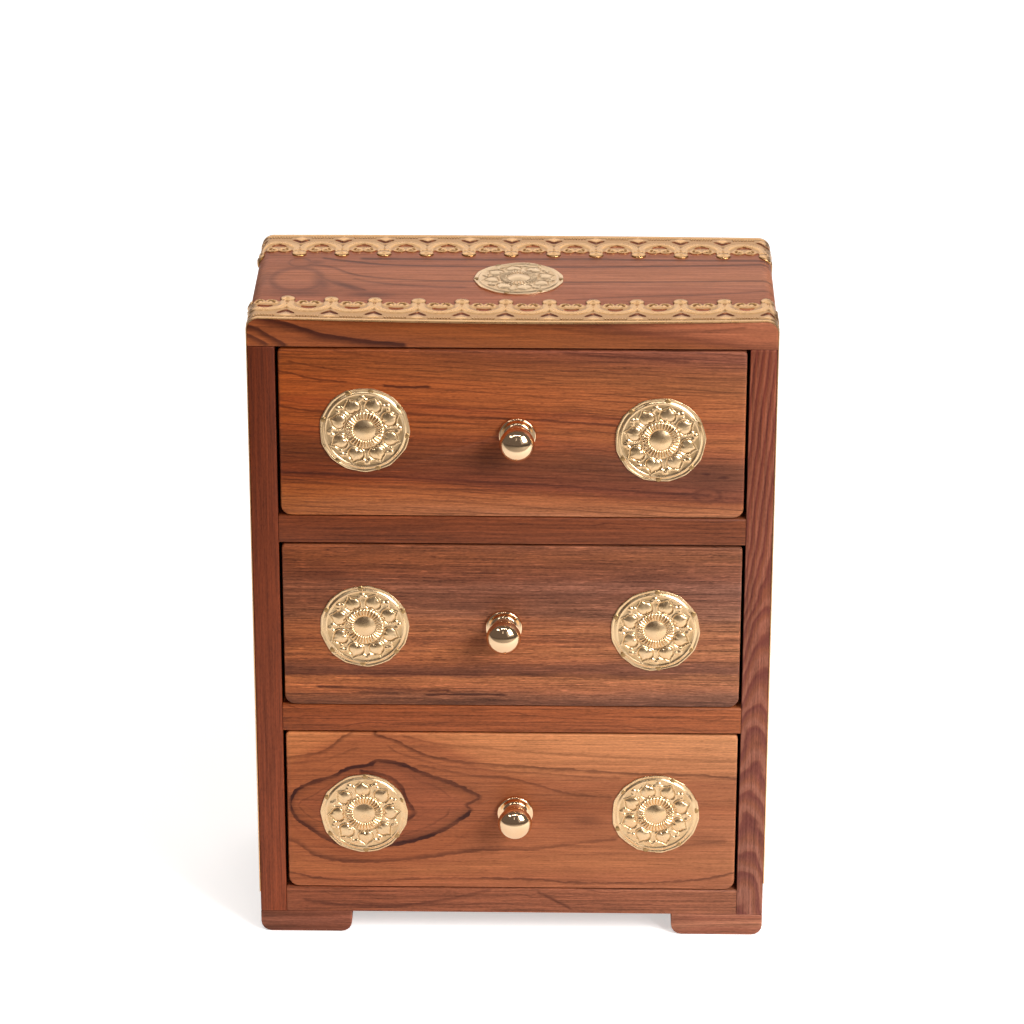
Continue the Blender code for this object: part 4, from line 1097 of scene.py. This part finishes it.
def rosette_relief(ring, angle):
    """The height of the pressed round over the wood in millimetres, at a share of the radius and an angle."""
    r = ring * rosette_radius
    h = 0.52 + 0.14 * slope(ring, 0.80, 0.3)
    h += 0.32 * ridge(ring, 0.875, 0.022) - 0.26 * ridge(ring, 0.935, 0.022)
    h -= 0.14 * slope(ring, 0.975, 1.0) ** 2
    sector = 2 * math.pi / petals
    turn = (angle + sector / 2) % sector - sector / 2
    u, v = r * np.cos(turn) - 10.2, r * np.sin(turn)
    heading = np.degrees(np.abs(np.arctan2(v, u)))
    heart = np.interp(heading, [0, 8, 25, 55, 90, 130, 160, 180], [4.4, 3.8, 3.25, 3.4, 3.5, 3.3, 2.75, 2.0])
    q = np.hypot(u, v) / heart
    between = angle % sector - sector / 2
    bud = np.ones_like(r) * 9.0
    for out, aside, size in ((13.3, 0.0, 1.00), (12.4, 1.15, 0.75), (12.4, -1.15, 0.75)):
        bud = np.minimum(bud, np.hypot(r * np.cos(between) - out, r * np.sin(between) - aside) / size)
    matted = slope(q, 1.1, 1.2) * slope(bud, 1.2, 1.5)
    matted *= slope(ring, 0.44, 0.47) * slope(ring, 0.81, 0.79)
    x, y = r * np.cos(angle), r * np.sin(angle)
    h += 0.06 * matted * np.cos(7.6 * x + 0.7 * np.sin(3 * y)) * np.cos(7.6 * y + 0.7 * np.sin(3 * x))
    h += 0.28 * ridge(q, 0.97, 0.06) - 0.16 * ridge(q, 0.83, 0.07)
    h += 0.60 * np.maximum(0.0, 1 - (q / 0.80) ** 2) ** 0.85
    h += 0.55 * round_top(bud)
    collar = slope(ring, 0.25, 0.27) * slope(ring, 0.425, 0.405)
    h += collar * (0.06 + 0.44 * np.abs(np.cos(collar_flutes / 2 * angle)) ** 0.9)
    h -= 0.15 * ridge(ring, 0.44, 0.012)
    return np.where(ring < dome_share, dome_base + dome_rise * (1 - (ring / dome_share) ** 2), h)


def rosette(name, seed, turn):
    """One medallion, lying on z = 0 with its back closed."""
    rings, spokes = 86, 320
    ring = np.linspace(0.0, 1.0, rings + 1)[1:]
    angle = np.arange(spokes) * 2 * math.pi / spokes
    grid_ring, grid_angle = np.meshgrid(ring, angle, indexing="ij")
    height = rosette_relief(grid_ring, grid_angle)
    rng = np.random.default_rng(seed + 100)
    lifts = rng.uniform(0.0, 2 * math.pi, 3)
    lift = 0.10 * np.sin(2 * grid_angle + lifts[0]) + 0.08 * np.sin(5 * grid_angle + lifts[1])
    height += lift * slope(grid_ring, 0.84, 1.0)
    height += 0.05 * np.sin(3 * grid_angle + lifts[2]) * grid_ring
    edge = 1 + (cut_outline(grid_angle, seed) - 1) * slope(grid_ring, 0.88, 1.0)
    out = grid_ring * edge * rosette_radius / 1000
    facing = grid_angle + turn
    x, y, z = out * np.cos(facing), out * np.sin(facing), np.maximum(height, 0.12) / 1000
    verts = [(0.0, 0.0, (dome_base + dome_rise) / 1000)] + list(zip(x.ravel(), y.ravel(), z.ravel()))
    verts += list(zip(x[-1], y[-1], np.zeros(spokes))) + [(0.0, 0.0, 0.0)]
    faces = []
    for step in range(spokes):
        after = (step + 1) % spokes
        faces.append((0, 1 + step, 1 + after))
        for inner in range(rings):
            low, high = 1 + inner * spokes, 1 + (inner + 1) * spokes
            faces.append((low + step, high + step, high + after, low + after))
        base = 1 + rings * spokes
        faces.append((len(verts) - 1, base + after, base + step))
    mesh = bpy.data.meshes.new(name)
    mesh.from_pydata(verts, [], faces)
    # The low ground and hollows, kept in the recess attribute: the material browns them, partly as patina and
    # partly as painted shade.
    recess = slope(height, 0.60, 0.3) * (grid_ring > 0.25) * (grid_ring < 0.84)
    tarnished = mesh.attributes.new("recess", "FLOAT", "POINT")
    tarnished.data.foreach_set("value", np.concatenate([[0.0], recess.ravel(), np.zeros(spokes + 1)]))
    return mesh


def pins_tree():
    """A low domed pin head on every point it is given."""
    tree, given = node_group("pins_at_points", {
        "Points": "Geometry", "Head": "Vector", "Finish": "Material",
    }, "Pins")
    ball = add(tree, "GeometryNodeMeshUVSphere", {"Segments": 10, "Rings": 6, "Radius": 1.0})
    pins = add(
        tree, "GeometryNodeInstanceOnPoints",
        {"Points": given["Points"], "Instance": ball, "Scale": given["Head"]},
    )
    pins = add(tree, "GeometryNodeRealizeInstances", [pins])
    pins = add(tree, "GeometryNodeSetMaterial", {"Geometry": pins, "Material": given["Finish"]})
    add(tree, "NodeGroupOutput", [pins])
    return tree


pinning = pins_tree()
facing_out = Matrix.Rotation(math.radians(90), 4, "X")
pin_ring = 0.0161
pin_level = 0.00042
pin_head_size = (0.00115, 0.00115, 0.00030)
medallions = {
    "top_medallion": ("carcass", 1, 12, (120, 62, -1, -59, -106, 181)),
    "upper_left_medallion": ("upper_drawer", 2, 26, (81, 36, -8, -72, -130, 165, 112)),
    "upper_right_medallion": ("upper_drawer", 3, 31, (81, 25, -43, -92, -152, 134)),
    "middle_left_medallion": ("middle_drawer", 4, 26, (95, 24, -41, -93, -141, 155)),
    "middle_right_medallion": ("middle_drawer", 5, 24, (88, 26, -30, -85, -140, 160)),
    "lower_left_medallion": ("lower_drawer", 6, 3, (88, 22, -37, -88, -146, 154)),
    "lower_right_medallion": ("lower_drawer", 7, 18, (66, 6, -54, -103, -156, 143)),
}
for node, (body, seed, turn, pin_angles) in medallions.items():
    low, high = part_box(node)
    middle = (low + high) / 2
    if body == "carcass":
        settle = Matrix.Translation((middle.x, middle.y, low.z))
    else:
        settle = Matrix.Translation((middle.x, high.y, middle.z)) @ facing_out
    mesh = rosette(node + "_brass", seed, math.radians(turn))
    mesh.materials.append(paler_brass if body == "carcass" else rosette_brass)
    smoothed(mesh, 60)
    mesh.transform(settle)
    medallion = placed(node + "_brass", mesh)
    spots = bpy.data.meshes.new(node + "_pin_spots")
    angles = [math.radians(angle) for angle in pin_angles]
    spots.from_pydata([
        (pin_ring * math.cos(angle), pin_ring * math.sin(angle), pin_level) for angle in angles
    ], [], [])
    pins = made_by(pinning, node + "_pins", spots, {"Head": pin_head_size, "Finish": pin_brass})
    pins.data.transform(settle)
    for piece in (medallion, pins):
        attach(piece, body)
    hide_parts(node)

# The size of the dressed chest: the box round every piece that is shown, apart from the table.
low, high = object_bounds()
